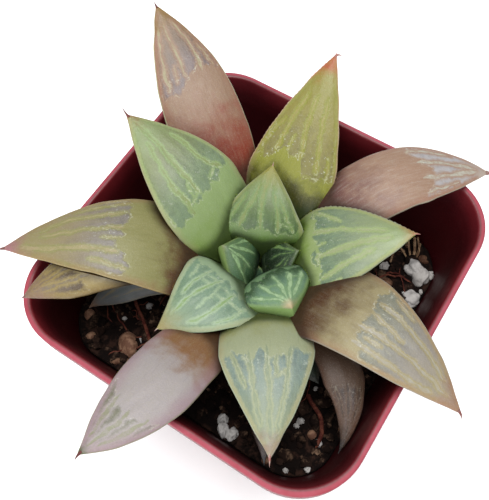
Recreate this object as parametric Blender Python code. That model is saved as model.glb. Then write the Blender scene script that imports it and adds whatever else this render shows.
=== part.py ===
# Windowed haworthia rosette in a small square plastic nursery pot.
# Lengths are in millimetres and angles in degrees; MM turns them into metres.
# The origin is the middle of the pot's flat underside, X and Y run along the pot's sides, +Z is up.

import math
import random

import bmesh
import bpy
import numpy as np
from mathutils import Vector, noise

MM = 0.001
GAP = 0.3  # clearance between touching pieces

POT_HEIGHT = 65.0
RIM_SIDE = 70.0  # outer width of the rim
RIM_CORNER = 12.3  # outer corner radius of the rim
CORNER_CLOSING = 0.6  # the radius shrinks by this share of the distance inside the rim's outline
WALL_SLOPE = 0.154  # how far a wall leans in for each millimetre down
RIM_WIDTH = 1.2
RIM_LIP = 1.5  # depth of the slope from the rim's flat top to the inner wall
RIM_LIP_INSET = 0.4  # how far that slope leans in
WALL = 1.1
COLLAR_HEIGHT = 5.5
COLLAR_STEP = 0.8  # how far the collar stands out from the wall below it
FLOOR = 1.4
EDGE_EASE = 0.3  # small bevel on the pot's moulded edges
DRAIN_DIAMETER = 6.0
DRAIN_OFFSET = 13.0  # from the pot's middle, along X and along Y
DRAIN_SIDES = 12
CORNER_STEPS = 6
OVERSHOOT = 2.0  # how far a cutting body reaches past the material

SOIL_HEIGHT = 46.2  # mean surface, above the underside of the pot
SOIL_RISE = 0.03  # the surface climbs towards -X for each millimetre
SOIL_DIP = 1.5  # depth of the hollow round the stem
SOIL_DIP_RADIUS = 13.0
SOIL_ROUGHNESS = 0.7
LUMP_SIZES = (6.0, 2.6)  # spacing of the coarse and the fine lumps
FINE_LUMP_SHARE = 0.6
SMOOTH_RADIUS = 7.0  # the soil is smooth this near the stem
ROUGH_RADIUS = 19.0  # and fully lumpy from here on
SOIL_RINGS = 7
SOIL_EDGE_GAP = 0.2  # the surface keeps this much more clearance from the wall than the rest
GRAIN_COUNT = 24
GRAIN_SEED = 21
GRAIN_SIZES = (1.6, 3.0)
GRAIN_SHARE = 0.42  # of a grain's size that is above the soil
GRAIN_REACH = 27.0  # grains lie within this distance along X and along Y
GRAIN_CLEAR = 17.0  # and outside this distance from the stem
GRAIN_SPACING = 0.4
GRAIN_POINTS = 11
GRAIN_FLATNESS = (0.85, 0.9)  # across and upwards, against its length
GRAIN_UNEVENNESS = (0.85, 1.15)  # shares of the half size at which its points lie
GRAIN_TURN = 2.4  # radians from one point to the next round a grain
GRAIN_WALL_SHARE = 0.6  # a grain keeps this share of its size clear of the wall

STEM_TOP = 50.0
STEM_FOOT = 38.0
STEM_SIDES = 14
STEM_DROPS = (0.0, 0.4, 0.9, 1.6, 2.5, 3.5)  # rings of the dome, below its top
CROWN_ROWS = ((0.92, 43.0), (0.6, STEM_FOOT))  # share of the radius at the soil, and height
LEAF_STEP = 0.22  # each older leaf is attached this much lower on the stem
LEAF_SPREAD = 1.5  # blades start at this distance times the square root of their number
STEM_SHARE = 0.85  # the stem's radius as a share of that distance
FIRST_NUMBER = 0.3  # the youngest leaf's number where its place on the stem is worked out
LAST_NUMBER = 19.0

BLADE_SIDES = 10
BLADE_STEPS = 13
BLADE_CROWDING = 1.15  # rings lie closer together towards the tip, the more the higher this power is
PATH_STEPS = 160  # steps in which a blade's bent centre line is added up
BEND_START = 0.2  # the slope changes between these shares of the length
BEND_END = 0.8
BASE_WIDTH = 0.6  # of the full width, where the blade starts
BASE_THICKNESS = 0.5
NECK_STEPS = 2
NECK_ROOT = 0.5  # the neck starts at this share of the blade's distance from the middle
NECK_WIDTH = 0.75  # of the blade's width at its start
NECK_THICKNESS = 0.8
UPPER_SHARE = 0.30  # share of a blade's thickness above its margins
UPPER_ROUNDING = 0.8  # powers that give the lens its form, above and below
LOWER_ROUNDING = 0.9
TIP_HALF_WIDTH = 0.25
TIP_UPPER = 0.12
TIP_LOWER = 0.15
TRIM_GAP = 0.38  # how far an outer leaf is cut back from an inner one

# One entry for each leaf, from the youngest to the oldest.
# azimuth: heading at the start.  height: of the blade's start, over the pot's underside.
# climb, fall: steepness at the start and at the tip.  width, thick: the largest across the blade.
# bend: how far the heading turns up to the tip.  widest: share of the length where the blade is widest.
# point: the higher it is, the later and blunter the blade narrows.
# blunt: the lower it is, the later the blade thins.
LEAVES = [
    dict(azimuth=118, height=51.0, length=6, climb=85, fall=75, width=4, thick=2.5),
    dict(azimuth=41, height=54.3, length=12, climb=74, fall=38, width=16.4, thick=4.5, blunt=0.6,
         widest=0.3, point=1.16),
    dict(azimuth=197, height=54.2, length=12, climb=86, fall=41, width=15.7, thick=7.5, blunt=0.4,
         bend=-3.5, widest=0.34, point=1.36),
    dict(azimuth=332.5, height=54.1, length=17.4, climb=69.5, fall=30, width=15.4, thick=9.5, blunt=0.35,
         bend=-7, widest=0.51, point=1.65),
    dict(azimuth=116, height=55.3, length=21.7, climb=71.5, fall=22.5, width=17.2, thick=6,
         bend=-11.5, widest=0.38, point=1.39),
    dict(azimuth=259, height=53.4, length=26.7, climb=63.5, fall=-2.5, width=19, thick=7,
         bend=-19.5, widest=0.35, point=1.67),
    dict(azimuth=34, height=53.7, length=32.3, climb=56, fall=16, width=19, thick=7,
         bend=-1.5, widest=0.41, point=1.63),
    dict(azimuth=167, height=54.3, length=39.6, climb=57, fall=16, width=18.1, thick=7,
         bend=4.5, widest=0.46, point=1.65),
    dict(azimuth=307.5, height=53.4, length=39.1, climb=46, fall=-1, width=17, thick=7,
         bend=-6.5, widest=0.53, point=1.34),
    dict(azimuth=100.5, height=52.4, length=44.1, climb=47.5, fall=30, width=17.9, thick=7,
         bend=-5, widest=0.42, point=1.49),
    dict(azimuth=209.5, height=51.3, length=51.1, climb=52, fall=-7, width=18.5, thick=6.5,
         bend=11, widest=0.4, point=1.75),
    dict(azimuth=354, height=51.5, length=49.8, climb=55.5, fall=-13, width=17.7, thick=6.5,
         bend=-11.5, widest=0.28, point=2.31),
    dict(azimuth=142.5, height=51.0, length=55.9, climb=45, fall=21.5, width=15.6, thick=6.5,
         bend=9, widest=0.54, point=2.07),
    dict(azimuth=272, height=51.1, length=49.2, climb=43, fall=13, width=13.7, thick=6,
         bend=-17, widest=0.62, point=2.02),
    dict(azimuth=63, height=50.6, length=52, climb=51.5, fall=-14, width=13.9, thick=6,
         bend=-30.5, widest=0.54, point=2.38),
    dict(azimuth=217, height=50.4, length=45.9, climb=53.5, fall=-1, width=10.1, thick=5,
         bend=28, widest=0.75, point=1.64),
    dict(azimuth=345.5, height=51.2, length=37, climb=29.5, fall=-16, width=7.9, thick=3.5,
         bend=-73, widest=0.65, point=1.05),
    dict(azimuth=210, height=50.5, length=30.2, climb=11, fall=-11, width=7.1, thick=3.5,
         bend=40, widest=0.67, point=1.85),
    dict(azimuth=331, height=50.2, length=18, climb=6, fall=0, width=10, thick=3.5),
    dict(azimuth=304, height=50.0, length=30, climb=5, fall=-3, width=8, thick=3),
]

# Grains that show from above: x, y, size, and how much of the size is above the soil.
SHOWN_GRAINS = [
    (25.0, 15.0, 5.5, 0.6),
    (23.0, 9.5, 4.0, 0.6),
    (27.5, 18.5, 2.5, 0.6),
    (-16.0, -24.0, 5.5, 0.5),
    (-24.0, -21.5, 3.5, 0.5),
    (23.5, -25.5, 4.5, 0.5),
    (-2.5, -27.8, 3.0, 0.6),
    (26.5, -22.0, 3.0, 0.5),
    (13.0, -26.0, 3.0, 0.5),
    (27.5, -10.0, 3.5, 0.5),
    (28.0, -15.0, 2.5, 0.6),
]


def smooth_step(x):
    x = np.clip(x, 0.0, 1.0)
    return x * x * (3.0 - 2.0 * x)


def material(name, colour, roughness):
    made = bpy.data.materials.new(name)
    made.use_nodes = True
    shader = made.node_tree.nodes["Principled BSDF"]
    shader.inputs["Base Color"].default_value = (*colour, 1.0)
    shader.inputs["Roughness"].default_value = roughness
    return made


def new_object(name, points, faces, finish):
    """An object from points in millimetres."""
    mesh = bpy.data.meshes.new(name)
    mesh.from_pydata([tuple(float(c) * MM for c in p) for p in points], [], faces)
    made = bpy.data.objects.new(name, mesh)
    bpy.context.collection.objects.link(made)
    if finish:
        mesh.materials.append(finish)
    return made


def skin(rings):
    """Points and faces of a closed body whose rings of equal size run from one end to the other."""
    count = len(rings[0])
    points = [p for ring in rings for p in ring]
    faces = []
    for k in range(len(rings) - 1):
        for j in range(count):
            n = (j + 1) % count
            faces.append((k * count + j, k * count + n, (k + 1) * count + n, (k + 1) * count + j))
    faces.append(tuple(reversed(range(count))))
    last = (len(rings) - 1) * count
    faces.append(tuple(range(last, last + count)))
    return points, faces


def apply_modifiers(thing):
    """Leaves the object as its modifiers shape it."""
    graph = bpy.context.evaluated_depsgraph_get()
    shaped = bpy.data.meshes.new_from_object(thing.evaluated_get(graph))
    thing.modifiers.clear()
    thing.data = shaped


def boolean(thing, other, operation, solver="EXACT"):
    step = thing.modifiers.new(operation.lower(), "BOOLEAN")
    step.operation = operation
    step.solver = solver
    step.object = other
    apply_modifiers(thing)


def remove(thing):
    bpy.data.objects.remove(thing, do_unlink=True)


def circle(x, y, radius, height, sides):
    ring = []
    for k in range(sides):
        turn = 2 * math.pi * k / sides
        ring.append((x + radius * math.cos(turn), y + radius * math.sin(turn), height))
    return ring


def rounded_square(inset, height):
    """Ring of a rounded square that lies inset from the rim's outline; the corner shrinks with it."""
    half = RIM_SIDE / 2 - inset
    corner = RIM_CORNER - CORNER_CLOSING * inset
    ring = []
    for quarter in range(4):
        for k in range(CORNER_STEPS):
            turn = math.radians(90 * quarter + 90 * k / (CORNER_STEPS - 1))
            middle = math.radians(90 * quarter + 45)
            reach = (half - corner) * math.sqrt(2)
            x = reach * math.cos(middle) + corner * math.cos(turn)
            y = reach * math.sin(middle) + corner * math.sin(turn)
            ring.append((x, y, height))
    return ring


def wall_inset(height):
    """How far the outer wall lies inside the rim's outline at a height."""
    return COLLAR_STEP + WALL_SLOPE * (POT_HEIGHT - height)


def make_pot(finish):
    """One moulded piece: flat underside, sloping walls, collar, rim, and the inside down to the floor."""
    top = POT_HEIGHT
    collar = top - COLLAR_HEIGHT
    profile = [
        (wall_inset(0) + EDGE_EASE, 0),
        (wall_inset(0), EDGE_EASE),
        (wall_inset(collar), collar),
        (EDGE_EASE, collar + EDGE_EASE),
        (0, top - EDGE_EASE),
        (EDGE_EASE, top),
        (RIM_WIDTH, top),
        (RIM_WIDTH + RIM_LIP_INSET, top - RIM_LIP),
        (wall_inset(collar) + WALL, collar),
        (wall_inset(FLOOR) + WALL, FLOOR),
    ]
    pot = new_object("pot", *skin([rounded_square(*row) for row in profile]), finish)
    for x in (-DRAIN_OFFSET, DRAIN_OFFSET):
        for y in (-DRAIN_OFFSET, DRAIN_OFFSET):
            heights = (-OVERSHOOT, FLOOR + OVERSHOOT)
            hole = [circle(x, y, DRAIN_DIAMETER / 2, z, DRAIN_SIDES) for z in heights]
            cutter = new_object("drain_cutter", *skin(hole), None)
            boolean(pot, cutter, "DIFFERENCE")
            remove(cutter)
    return pot


def soil_surface(x, y):
    """Height of the soil at a place: a slope, a hollow round the stem, and lumps away from it."""
    distance = math.hypot(x, y)
    coarse, fine = LUMP_SIZES
    lumps = noise.noise(Vector((x / coarse, y / coarse, 3.7)))
    lumps += FINE_LUMP_SHARE * noise.noise(Vector((x / fine, y / fine, 9.1)))
    ease = smooth_step((distance - SMOOTH_RADIUS) / (ROUGH_RADIUS - SMOOTH_RADIUS))
    dip = SOIL_DIP * math.exp(-((distance / SOIL_DIP_RADIUS) ** 2))
    return SOIL_HEIGHT - SOIL_RISE * x - dip + SOIL_ROUGHNESS * lumps * ease


def grain(x, y, size, share, seed):
    """A broken lump: the hull of points spread over a squashed ball, each a little in or out."""
    draw = random.Random(seed)
    height = soil_surface(x, y) + size * (share - 0.5)
    across, upwards = GRAIN_FLATNESS
    turn = draw.uniform(0, 2 * math.pi)
    work = bmesh.new()
    for k in range(GRAIN_POINTS):
        lift = 1 - 2 * (k + 0.5) / GRAIN_POINTS
        angle = GRAIN_TURN * k + turn
        reach = size / 2 * draw.uniform(*GRAIN_UNEVENNESS)
        flat = math.sqrt(1 - lift * lift)
        place = Vector((flat * math.cos(angle), across * flat * math.sin(angle), upwards * lift))
        work.verts.new((Vector((x, y, height)) + reach * place) * MM)
    bmesh.ops.convex_hull(work, input=work.verts)
    bmesh.ops.recalc_face_normals(work, faces=work.faces)
    mesh = bpy.data.meshes.new("grain")
    work.to_mesh(mesh)
    work.free()
    made = bpy.data.objects.new("grain", mesh)
    bpy.context.collection.objects.link(made)
    return made


def edge_distance(x, y):
    """How far a place on the soil lies from the pot's inner wall."""
    inset = wall_inset(SOIL_HEIGHT) + WALL
    corner = RIM_CORNER - CORNER_CLOSING * inset
    flat = RIM_SIDE / 2 - inset - corner
    over_x = abs(x) - flat
    over_y = abs(y) - flat
    return corner - math.hypot(max(over_x, 0), max(over_y, 0)) - min(max(over_x, over_y), 0)


def grain_places():
    """The grains that show, then seeded ones spread over the rest of the soil."""
    places = list(SHOWN_GRAINS)
    draw = random.Random(GRAIN_SEED)
    while len(places) < len(SHOWN_GRAINS) + GRAIN_COUNT:
        x = draw.uniform(-GRAIN_REACH, GRAIN_REACH)
        y = draw.uniform(-GRAIN_REACH, GRAIN_REACH)
        size = draw.uniform(*GRAIN_SIZES)
        apart = all(math.hypot(x - p[0], y - p[1]) > (size + p[2]) / 2 + GRAIN_SPACING for p in places)
        inside = edge_distance(x, y) > GRAIN_WALL_SHARE * size + 2 * GAP
        if apart and inside and math.hypot(x, y) > GRAIN_CLEAR:
            places.append((x, y, size, GRAIN_SHARE))
    return places


def make_soil(finish):
    """Potting mix that fills the pot, with a hole for the stem and grains fused to its surface."""
    low = FLOOR + GAP
    edge = wall_inset(SOIL_HEIGHT) + WALL + GAP + SOIL_EDGE_GAP
    rings = [
        rounded_square(wall_inset(low) + WALL + GAP, low),
        [(x, y, soil_surface(x, y)) for x, y, _ in rounded_square(edge, 0)],
    ]
    outline = rings[-1]
    for k in range(1, SOIL_RINGS):
        share = 1 - k / SOIL_RINGS
        rings.append([(x * share, y * share, soil_surface(x * share, y * share)) for x, y, _ in outline])
    soil = new_object("soil", *skin(rings), finish)
    radius = stem_radius(SOIL_HEIGHT) + GAP
    hole = [circle(0, 0, radius, z, STEM_SIDES) for z in (STEM_FOOT - GAP, STEM_TOP)]
    cutter = new_object("stem_hole", *skin(hole), None)
    boolean(soil, cutter, "DIFFERENCE")
    remove(cutter)
    for number, place in enumerate(grain_places()):
        lump = grain(*place, seed=number)
        boolean(soil, lump, "UNION")
        remove(lump)
    return soil


def attach_height(number):
    return STEM_TOP - LEAF_STEP * number


def stem_radius(height):
    """The stem swells like the rosette: with the square root of the leaf number at that height."""
    number = (STEM_TOP - height) / LEAF_STEP
    return STEM_SHARE * LEAF_SPREAD * math.sqrt(min(max(number, FIRST_NUMBER), LAST_NUMBER))


def make_stem(finish, grow=0.0, name="stem"):
    """Short thick stem: a dome under the leaves, then the crown of the roots narrowing in its hole."""
    rows = [(stem_radius(STEM_TOP - drop), STEM_TOP - drop) for drop in STEM_DROPS]
    rows += [(share * stem_radius(SOIL_HEIGHT), height) for share, height in CROWN_ROWS]
    rows = [(radius + grow, height) for radius, height in rows]
    rows[0] = (rows[0][0] + grow, rows[0][1] + grow)
    rings = [circle(0, 0, radius, height, STEM_SIDES) for radius, height in reversed(rows)]
    return new_object(name, *skin(rings), finish)


def blade(
    number, azimuth, height, length, climb, fall, width, thick, bend=0.0, widest=0.45, point=1.55, blunt=0.75
):
    """Centre line, side and upward directions, half width and thickness along a blade.

    The heading turns by bend with the square of the way along; the slope goes from climb to fall over
    the middle of the blade; the width swells to the widest place and then falls as one less the power
    point of the way that is left; the thickness falls with the power blunt of what is left of it."""
    fine = np.linspace(0.0, 1.0, PATH_STEPS + 1)
    turning = smooth_step((fine - BEND_START) / (BEND_END - BEND_START))
    slope = np.radians(climb + (fall - climb) * turning)
    heading = np.radians(azimuth + bend * fine**2)
    level = np.cos(slope)
    along = np.stack([level * np.cos(heading), level * np.sin(heading), np.sin(slope)], -1)
    steps = (along[1:] + along[:-1]) / 2 * length / PATH_STEPS
    walk = np.concatenate([np.zeros((1, 3)), np.cumsum(steps, axis=0)])
    start = LEAF_SPREAD * math.sqrt(number)
    lead = np.array([math.cos(math.radians(azimuth)), math.sin(math.radians(azimuth)), 0.0])
    walk = walk + lead * start + np.array([0.0, 0.0, height])

    way = 1.0 - (1.0 - np.linspace(0.0, 1.0, BLADE_STEPS)) ** BLADE_CROWDING
    centre = np.stack([np.interp(way, fine, walk[:, k]) for k in range(3)], -1)
    along = np.stack([np.interp(way, fine, along[:, k]) for k in range(3)], -1)
    heading = np.interp(way, fine, heading)
    side = np.stack([-np.sin(heading), np.cos(heading), 0.0 * heading], -1)
    swell = np.sin(np.clip(way / widest, 0.0, 1.0) * math.pi / 2)
    taper = np.clip((way - widest) / (1.0 - widest), 0.0, 1.0)
    rising_width = BASE_WIDTH + (1.0 - BASE_WIDTH) * swell
    rising_depth = BASE_THICKNESS + (1.0 - BASE_THICKNESS) * swell
    half = width / 2 * np.where(way < widest, rising_width, 1.0 - taper**point)
    depth = thick * np.where(way < widest, rising_depth, (1.0 - taper) ** blunt)

    root = lead * start * NECK_ROOT + np.array([0.0, 0.0, attach_height(number)])
    neck = np.linspace(0.0, 1.0, NECK_STEPS, endpoint=False)[:, None]
    neck_half = half[0] * (NECK_WIDTH + (1.0 - NECK_WIDTH) * neck[:, 0])
    centre = np.concatenate([root + (centre[0] - root) * neck, centre])
    along = np.concatenate([np.repeat(along[:1], NECK_STEPS, 0), along])
    side = np.concatenate([np.repeat(side[:1], NECK_STEPS, 0), side])
    half = np.concatenate([neck_half, half])
    depth = np.concatenate([np.repeat(depth[:1] * NECK_THICKNESS, NECK_STEPS), depth])
    up = np.cross(along, side)
    return centre, along, side, up / np.linalg.norm(up, axis=1)[:, None], half, depth


def make_leaf(number, row, finish, grow=0.0, name=None):
    """A leaf as one body: a lens across, flat above and full below; grow makes it that much bigger."""
    centre, along, side, up, half, depth = blade(number, **row)
    half = np.maximum(half, TIP_HALF_WIDTH) + grow
    upper = np.maximum(UPPER_SHARE * depth, TIP_UPPER) + grow
    lower = np.maximum((1 - UPPER_SHARE) * depth, TIP_LOWER) + grow
    centre[-1] += along[-1] * grow
    turn = np.linspace(0.0, 2 * np.pi, BLADE_SIDES, endpoint=False)
    rounding = np.sin(turn) ** 2
    above = upper[:, None] * rounding**UPPER_ROUNDING
    below = -lower[:, None] * rounding**LOWER_ROUNDING
    lift = np.where(np.sin(turn) >= 0, above, below)
    across = half[:, None] * np.cos(turn)
    rings = centre[:, None] + across[..., None] * side[:, None] + lift[..., None] * up[:, None]
    return new_object(name or f"leaf_{number + 1:02d}", *skin(rings), finish)


def keep_largest(thing):
    """Drops the loose scraps that a cut leaves."""
    work = bmesh.new()
    work.from_mesh(thing.data)
    left = set(work.verts)
    islands = []
    while left:
        seed = left.pop()
        island = {seed}
        front = [seed]
        while front:
            point = front.pop()
            for edge in point.link_edges:
                other = edge.other_vert(point)
                if other not in island:
                    island.add(other)
                    front.append(other)
        left -= island
        islands.append(island)
    islands.sort(key=len)
    for island in islands[:-1]:
        bmesh.ops.delete(work, geom=list(island), context="VERTS")
    bmesh.ops.triangulate(work, faces=work.faces)
    work.to_mesh(thing.data)
    work.free()


def boxes_meet(a, b):
    """Whether two objects' bounding boxes overlap."""
    low_a, high_a = np.min(a.bound_box, axis=0), np.max(a.bound_box, axis=0)
    low_b, high_b = np.min(b.bound_box, axis=0), np.max(b.bound_box, axis=0)
    return bool(np.all(low_a < high_b) and np.all(low_b < high_a))


def make_leaves(finishes):
    """Each leaf is cut back from the stem and from every younger leaf, as leaves press on each other.

    The solver for closed bodies makes these cuts: the exact one empties a leaf that is cut many times."""
    cutters = [make_stem(None, grow=TRIM_GAP, name="stem_cutter")]
    for number, row in enumerate(LEAVES):
        leaf = make_leaf(number, row, finishes[number])
        for cutter in cutters:
            if boxes_meet(leaf, cutter):
                boolean(leaf, cutter, "DIFFERENCE", solver="MANIFOLD")
        keep_largest(leaf)
        cutters.append(make_leaf(number, row, None, grow=TRIM_GAP, name="leaf_cutter"))
    for cutter in cutters:
        remove(cutter)


def leaf_finishes():
    """Green in the middle, yellow-green to pink-brown further out, dull brown for the old leaves."""
    young = (0.13, 0.27, 0.12)
    grown = (0.30, 0.42, 0.18)
    outer = (0.42, 0.30, 0.18)
    old = (0.14, 0.11, 0.09)
    colours = [young] * 4 + [grown] * 6 + [outer] * 5 + [old] * 5
    return [material(f"leaf_{k + 1:02d}_skin", colour, 0.45) for k, colour in enumerate(colours)]


def main():
    for thing in list(bpy.data.objects):
        bpy.data.objects.remove(thing, do_unlink=True)
    make_pot(material("pot_plastic", (0.35, 0.05, 0.06), 0.4))
    make_soil(material("soil_mix", (0.03, 0.022, 0.018), 0.95))
    make_stem(material("stem_bark", (0.25, 0.2, 0.1), 0.8))
    make_leaves(leaf_finishes())


main()
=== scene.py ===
import math

import bpy
import numpy as np
from mathutils import Matrix, Vector


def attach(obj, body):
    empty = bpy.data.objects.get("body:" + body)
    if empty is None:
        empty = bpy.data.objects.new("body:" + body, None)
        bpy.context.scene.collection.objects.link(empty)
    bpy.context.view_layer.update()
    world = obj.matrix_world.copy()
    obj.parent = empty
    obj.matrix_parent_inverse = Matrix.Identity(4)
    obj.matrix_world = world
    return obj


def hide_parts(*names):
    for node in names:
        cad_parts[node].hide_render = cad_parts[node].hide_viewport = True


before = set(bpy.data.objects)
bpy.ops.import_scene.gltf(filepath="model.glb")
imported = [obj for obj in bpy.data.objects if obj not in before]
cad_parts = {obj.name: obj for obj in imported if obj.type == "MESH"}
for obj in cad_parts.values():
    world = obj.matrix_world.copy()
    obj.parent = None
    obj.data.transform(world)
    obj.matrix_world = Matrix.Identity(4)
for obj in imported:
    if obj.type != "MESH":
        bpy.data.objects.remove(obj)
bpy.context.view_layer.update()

# ---- Pot ---------------------------------------------------------------------------------------
# Small square nursery pot, moulded in one piece from thin red-brown plastic: sloping walls, a collar and
# a rounded rim whose top is pale and pinkish, partly rubbed by handling and partly a painted highlight
# where light falls on it. Four drain holes are cut in its floor.
# Lengths are in millimetres all through this file; MM turns them into metres when a mesh is made.

MM = 0.001
RIM_HALF = 35.0
RIM_CORNER = 12.3
RIM_WIDTH = 1.2
LIP_WIDTH, LIP_DEPTH = 1.6, 1.5  # where the rim's rounding ends on the inner wall
CORNER_CLOSING = 0.6  # the corner radius shrinks by this share of the distance inside the rim
WALL_SLOPE = 0.154
POT_HEIGHT = 65.0
COLLAR = 59.5  # height of the collar's lower edge
COLLAR_STEP = 0.8
WALL = 1.1
FLOOR = 1.4
INSIDE_START, INSIDE_BLEND = 0.5, 0.4  # the inner side begins this far in from the outline; below the rim it is painted darker as shade
DRAIN_RADIUS = 3.0
DRAIN_OFFSET = 13.0
DRAIN_PUNCH = 2.0  # how far the punch for a drain hole stands out of the floor
STUDIO_LIGHT = 1.8  # the studio's light is this much stronger than the light that colours were read in


def colour(red, green, blue):
    """Screen values from 0 to 255 as the linear values that a shader takes in the studio's light."""
    share = np.array([red, green, blue]) / 255.0
    linear = np.where(share <= 0.04045, share / 12.92, ((share + 0.055) / 1.055) ** 2.4)
    return (*[float(c) for c in linear / STUDIO_LIGHT], 1.0)


def smooth_step(x):
    """0 below 0, 1 above 1, and three squares less two cubes of x between them."""
    x = np.clip(x, 0.0, 1.0)
    return x * x * (3.0 - 2.0 * x)


def wall_inset(height):
    """How far the outer wall lies inside the rim's outline at a height."""
    return COLLAR_STEP + WALL_SLOPE * (POT_HEIGHT - height)


def rounded_squares(insets, corner_points, side_points):
    """(rows, columns, 2) outlines, each a square with round corners that lies inset from the rim.
    A quarter is an arc about the point (half - corner) from both walls, then evenly spread points
    along the straight run to the next arc; the other quarters are the same turned by right angles."""
    half = RIM_HALF - np.asarray(insets, float)[:, None]
    corner = RIM_CORNER - CORNER_CLOSING * np.asarray(insets, float)[:, None]
    reach = half - corner
    turn = np.linspace(0.0, math.pi / 2, corner_points)[None]
    run = np.linspace(1.0, -1.0, side_points + 2)[None, 1:-1]
    x = np.concatenate([reach + corner * np.cos(turn), reach * run], 1)
    y = np.concatenate([reach + corner * np.sin(turn), half + 0.0 * run], 1)
    quarters = [(x, y), (-y, x), (-x, -y), (y, -x)]
    return np.concatenate([np.stack(q, -1) for q in quarters], 1)


def circle(radius, height, x=0.0, y=0.0, count=40):
    """Places spread evenly round a level circle."""
    turn = np.linspace(0.0, 2 * math.pi, count, endpoint=False)
    return np.stack([x + radius * np.cos(turn), y + radius * np.sin(turn), np.full(count, height)], -1)


def eased(rows, steps=5):
    """A profile of straight runs whose corners are eased. Each row is (inset, height, easing); a
    corner becomes a quadratic curve from the point easing before it to the point easing after it."""
    places = np.array([r[:2] for r in rows], float)
    made = [places[:1]]
    share = np.linspace(0.0, 1.0, steps)[:, None]
    for k in range(1, len(rows) - 1):
        before, after = places[k - 1] - places[k], places[k + 1] - places[k]
        start = places[k] + before / np.linalg.norm(before) * rows[k][2]
        end = places[k] + after / np.linalg.norm(after) * rows[k][2]
        made.append((1 - share) ** 2 * start + 2 * share * (1 - share) * places[k] + share**2 * end)
    made.append(places[-1:])
    return np.concatenate(made)


def body_faces(rows, columns):
    """Quads between neighbouring rings whose columns run round and meet, and two fans of triangles
    from the first and the last ring to the two points that follow the rings."""
    k, j = np.meshgrid(np.arange(rows - 1), np.arange(columns), indexing="ij")
    n = (j + 1) % columns
    below, above = k * columns, (k + 1) * columns
    quads = np.stack([below + j, below + n, above + n, above + j], -1).reshape(-1, 4)
    j = np.arange(columns)
    n = (j + 1) % columns
    last = (rows - 1) * columns
    first_end, last_end = (np.full(columns, rows * columns + k) for k in (0, 1))
    return quads, np.stack([n, j, first_end], -1), np.stack([last + j, last + n, last_end], -1)


def closed_body(rings):
    """Points and faces of a closed body from (rows, columns, 3) rings. A fan to the middle of the
    first and of the last ring closes the ends, and the faces are turned if the volume is negative."""
    points = np.concatenate([rings.reshape(-1, 3), rings[:1].mean(1), rings[-1:].mean(1)])
    quads, low, high = body_faces(*rings.shape[:2])
    triangles = np.concatenate([quads[:, [0, 1, 2]], quads[:, [0, 2, 3]], low, high])
    a, b, c = (points[triangles[:, i]] for i in range(3))
    if np.sum(a * np.cross(b, c)) < 0:
        quads, low, high = quads[:, ::-1], low[:, ::-1], high[:, ::-1]
    return points, quads.tolist() + low.tolist() + high.tolist()


def new_piece(name, points, faces, marks=None, sharp=50.0):
    """A piece from points in millimetres; marks are values that its material reads at each point.
    It is shaded smooth, but for edges where it turns by more than sharp degrees."""
    mesh = bpy.data.meshes.new(name)
    mesh.from_pydata((np.asarray(points) * MM).tolist(), [], faces)
    for key, values in (marks or {}).items():
        data = mesh.attributes.new(key, "FLOAT", "POINT").data
        data.foreach_set("value", np.ravel(values).astype(np.float32))
    mesh.shade_smooth()
    mesh.set_sharp_from_angle(angle=math.radians(sharp))
    piece = bpy.data.objects.new(name, mesh)
    bpy.context.scene.collection.objects.link(piece)
    return piece


def cut_away(piece, cutter):
    """Cuts one closed piece out of another and leaves the result as the piece's own mesh."""
    step = piece.modifiers.new("cut", "BOOLEAN")
    step.operation = "DIFFERENCE"
    step.solver = "MANIFOLD"
    step.object = cutter
    whole = piece.evaluated_get(bpy.context.evaluated_depsgraph_get())
    shaped = bpy.data.meshes.new_from_object(whole)
    piece.modifiers.clear()
    shaped.materials.clear()
    piece.data = shaped


def wire(tree, node, sockets):
    """Gives inputs of a node another node's output or a plain value."""
    for key, value in sockets.items():
        if isinstance(value, bpy.types.NodeSocket):
            tree.links.new(value, node.inputs[key])
        else:
            node.inputs[key].default_value = value


def add(tree, kind, sockets=None, **settings):
    """A shader node with its settings and its inputs."""
    made = tree.nodes.new(kind)
    for key, value in settings.items():
        setattr(made, key, value)
    wire(tree, made, sockets or {})
    return made


def blend(tree, share, first, second, kind="MIX"):
    """First where share is 0 and second where it is 1."""
    made = add(tree, "ShaderNodeMix", {0: share, 6: first, 7: second}, data_type="RGBA", blend_type=kind)
    return made.outputs[2]


def sums(tree, kind, first, second=0.0, third=0.0):
    """One step of arithmetic on values."""
    return add(tree, "ShaderNodeMath", {0: first, 1: second, 2: third}, operation=kind).outputs[0]


def scaled(tree, value, factor, more=0.0):
    """The value times a factor, plus more."""
    return sums(tree, "MULTIPLY_ADD", value, factor, more)


def rise(tree, value, low, high):
    """0 up to low, 1 from high, and a smooth step between them."""
    sockets = {"Value": value, "From Min": low, "From Max": high}
    return add(tree, "ShaderNodeMapRange", sockets, interpolation_type="SMOOTHSTEP").outputs[0]


def noise(tree, scale, vector=None, detail=3.0, roughness=0.55):
    """Noise in the piece's own place; scale is in cells for each metre."""
    vector = vector or add(tree, "ShaderNodeTexCoord").outputs["Object"]
    sockets = {"Vector": vector, "Scale": scale, "Detail": detail, "Roughness": roughness}
    return add(tree, "ShaderNodeTexNoise", sockets).outputs[0]


def read(tree, name):
    """A mark of the piece's points."""
    return add(tree, "ShaderNodeAttribute", attribute_name=name).outputs["Fac"]


def new_group(name, inputs, outputs):
    """A shader node group with named sockets; returns its tree and its input and output nodes."""
    tree = bpy.data.node_groups.new(name, "ShaderNodeTree")
    for key, value in inputs.items():
        kind = "NodeSocketColor" if isinstance(value, tuple) else "NodeSocketFloat"
        tree.interface.new_socket(key, in_out="INPUT", socket_type=kind).default_value = value
    for key, kind in outputs.items():
        tree.interface.new_socket(key, in_out="OUTPUT", socket_type="NodeSocket" + kind)
    return tree, tree.nodes.new("NodeGroupInput").outputs, tree.nodes.new("NodeGroupOutput")


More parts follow.
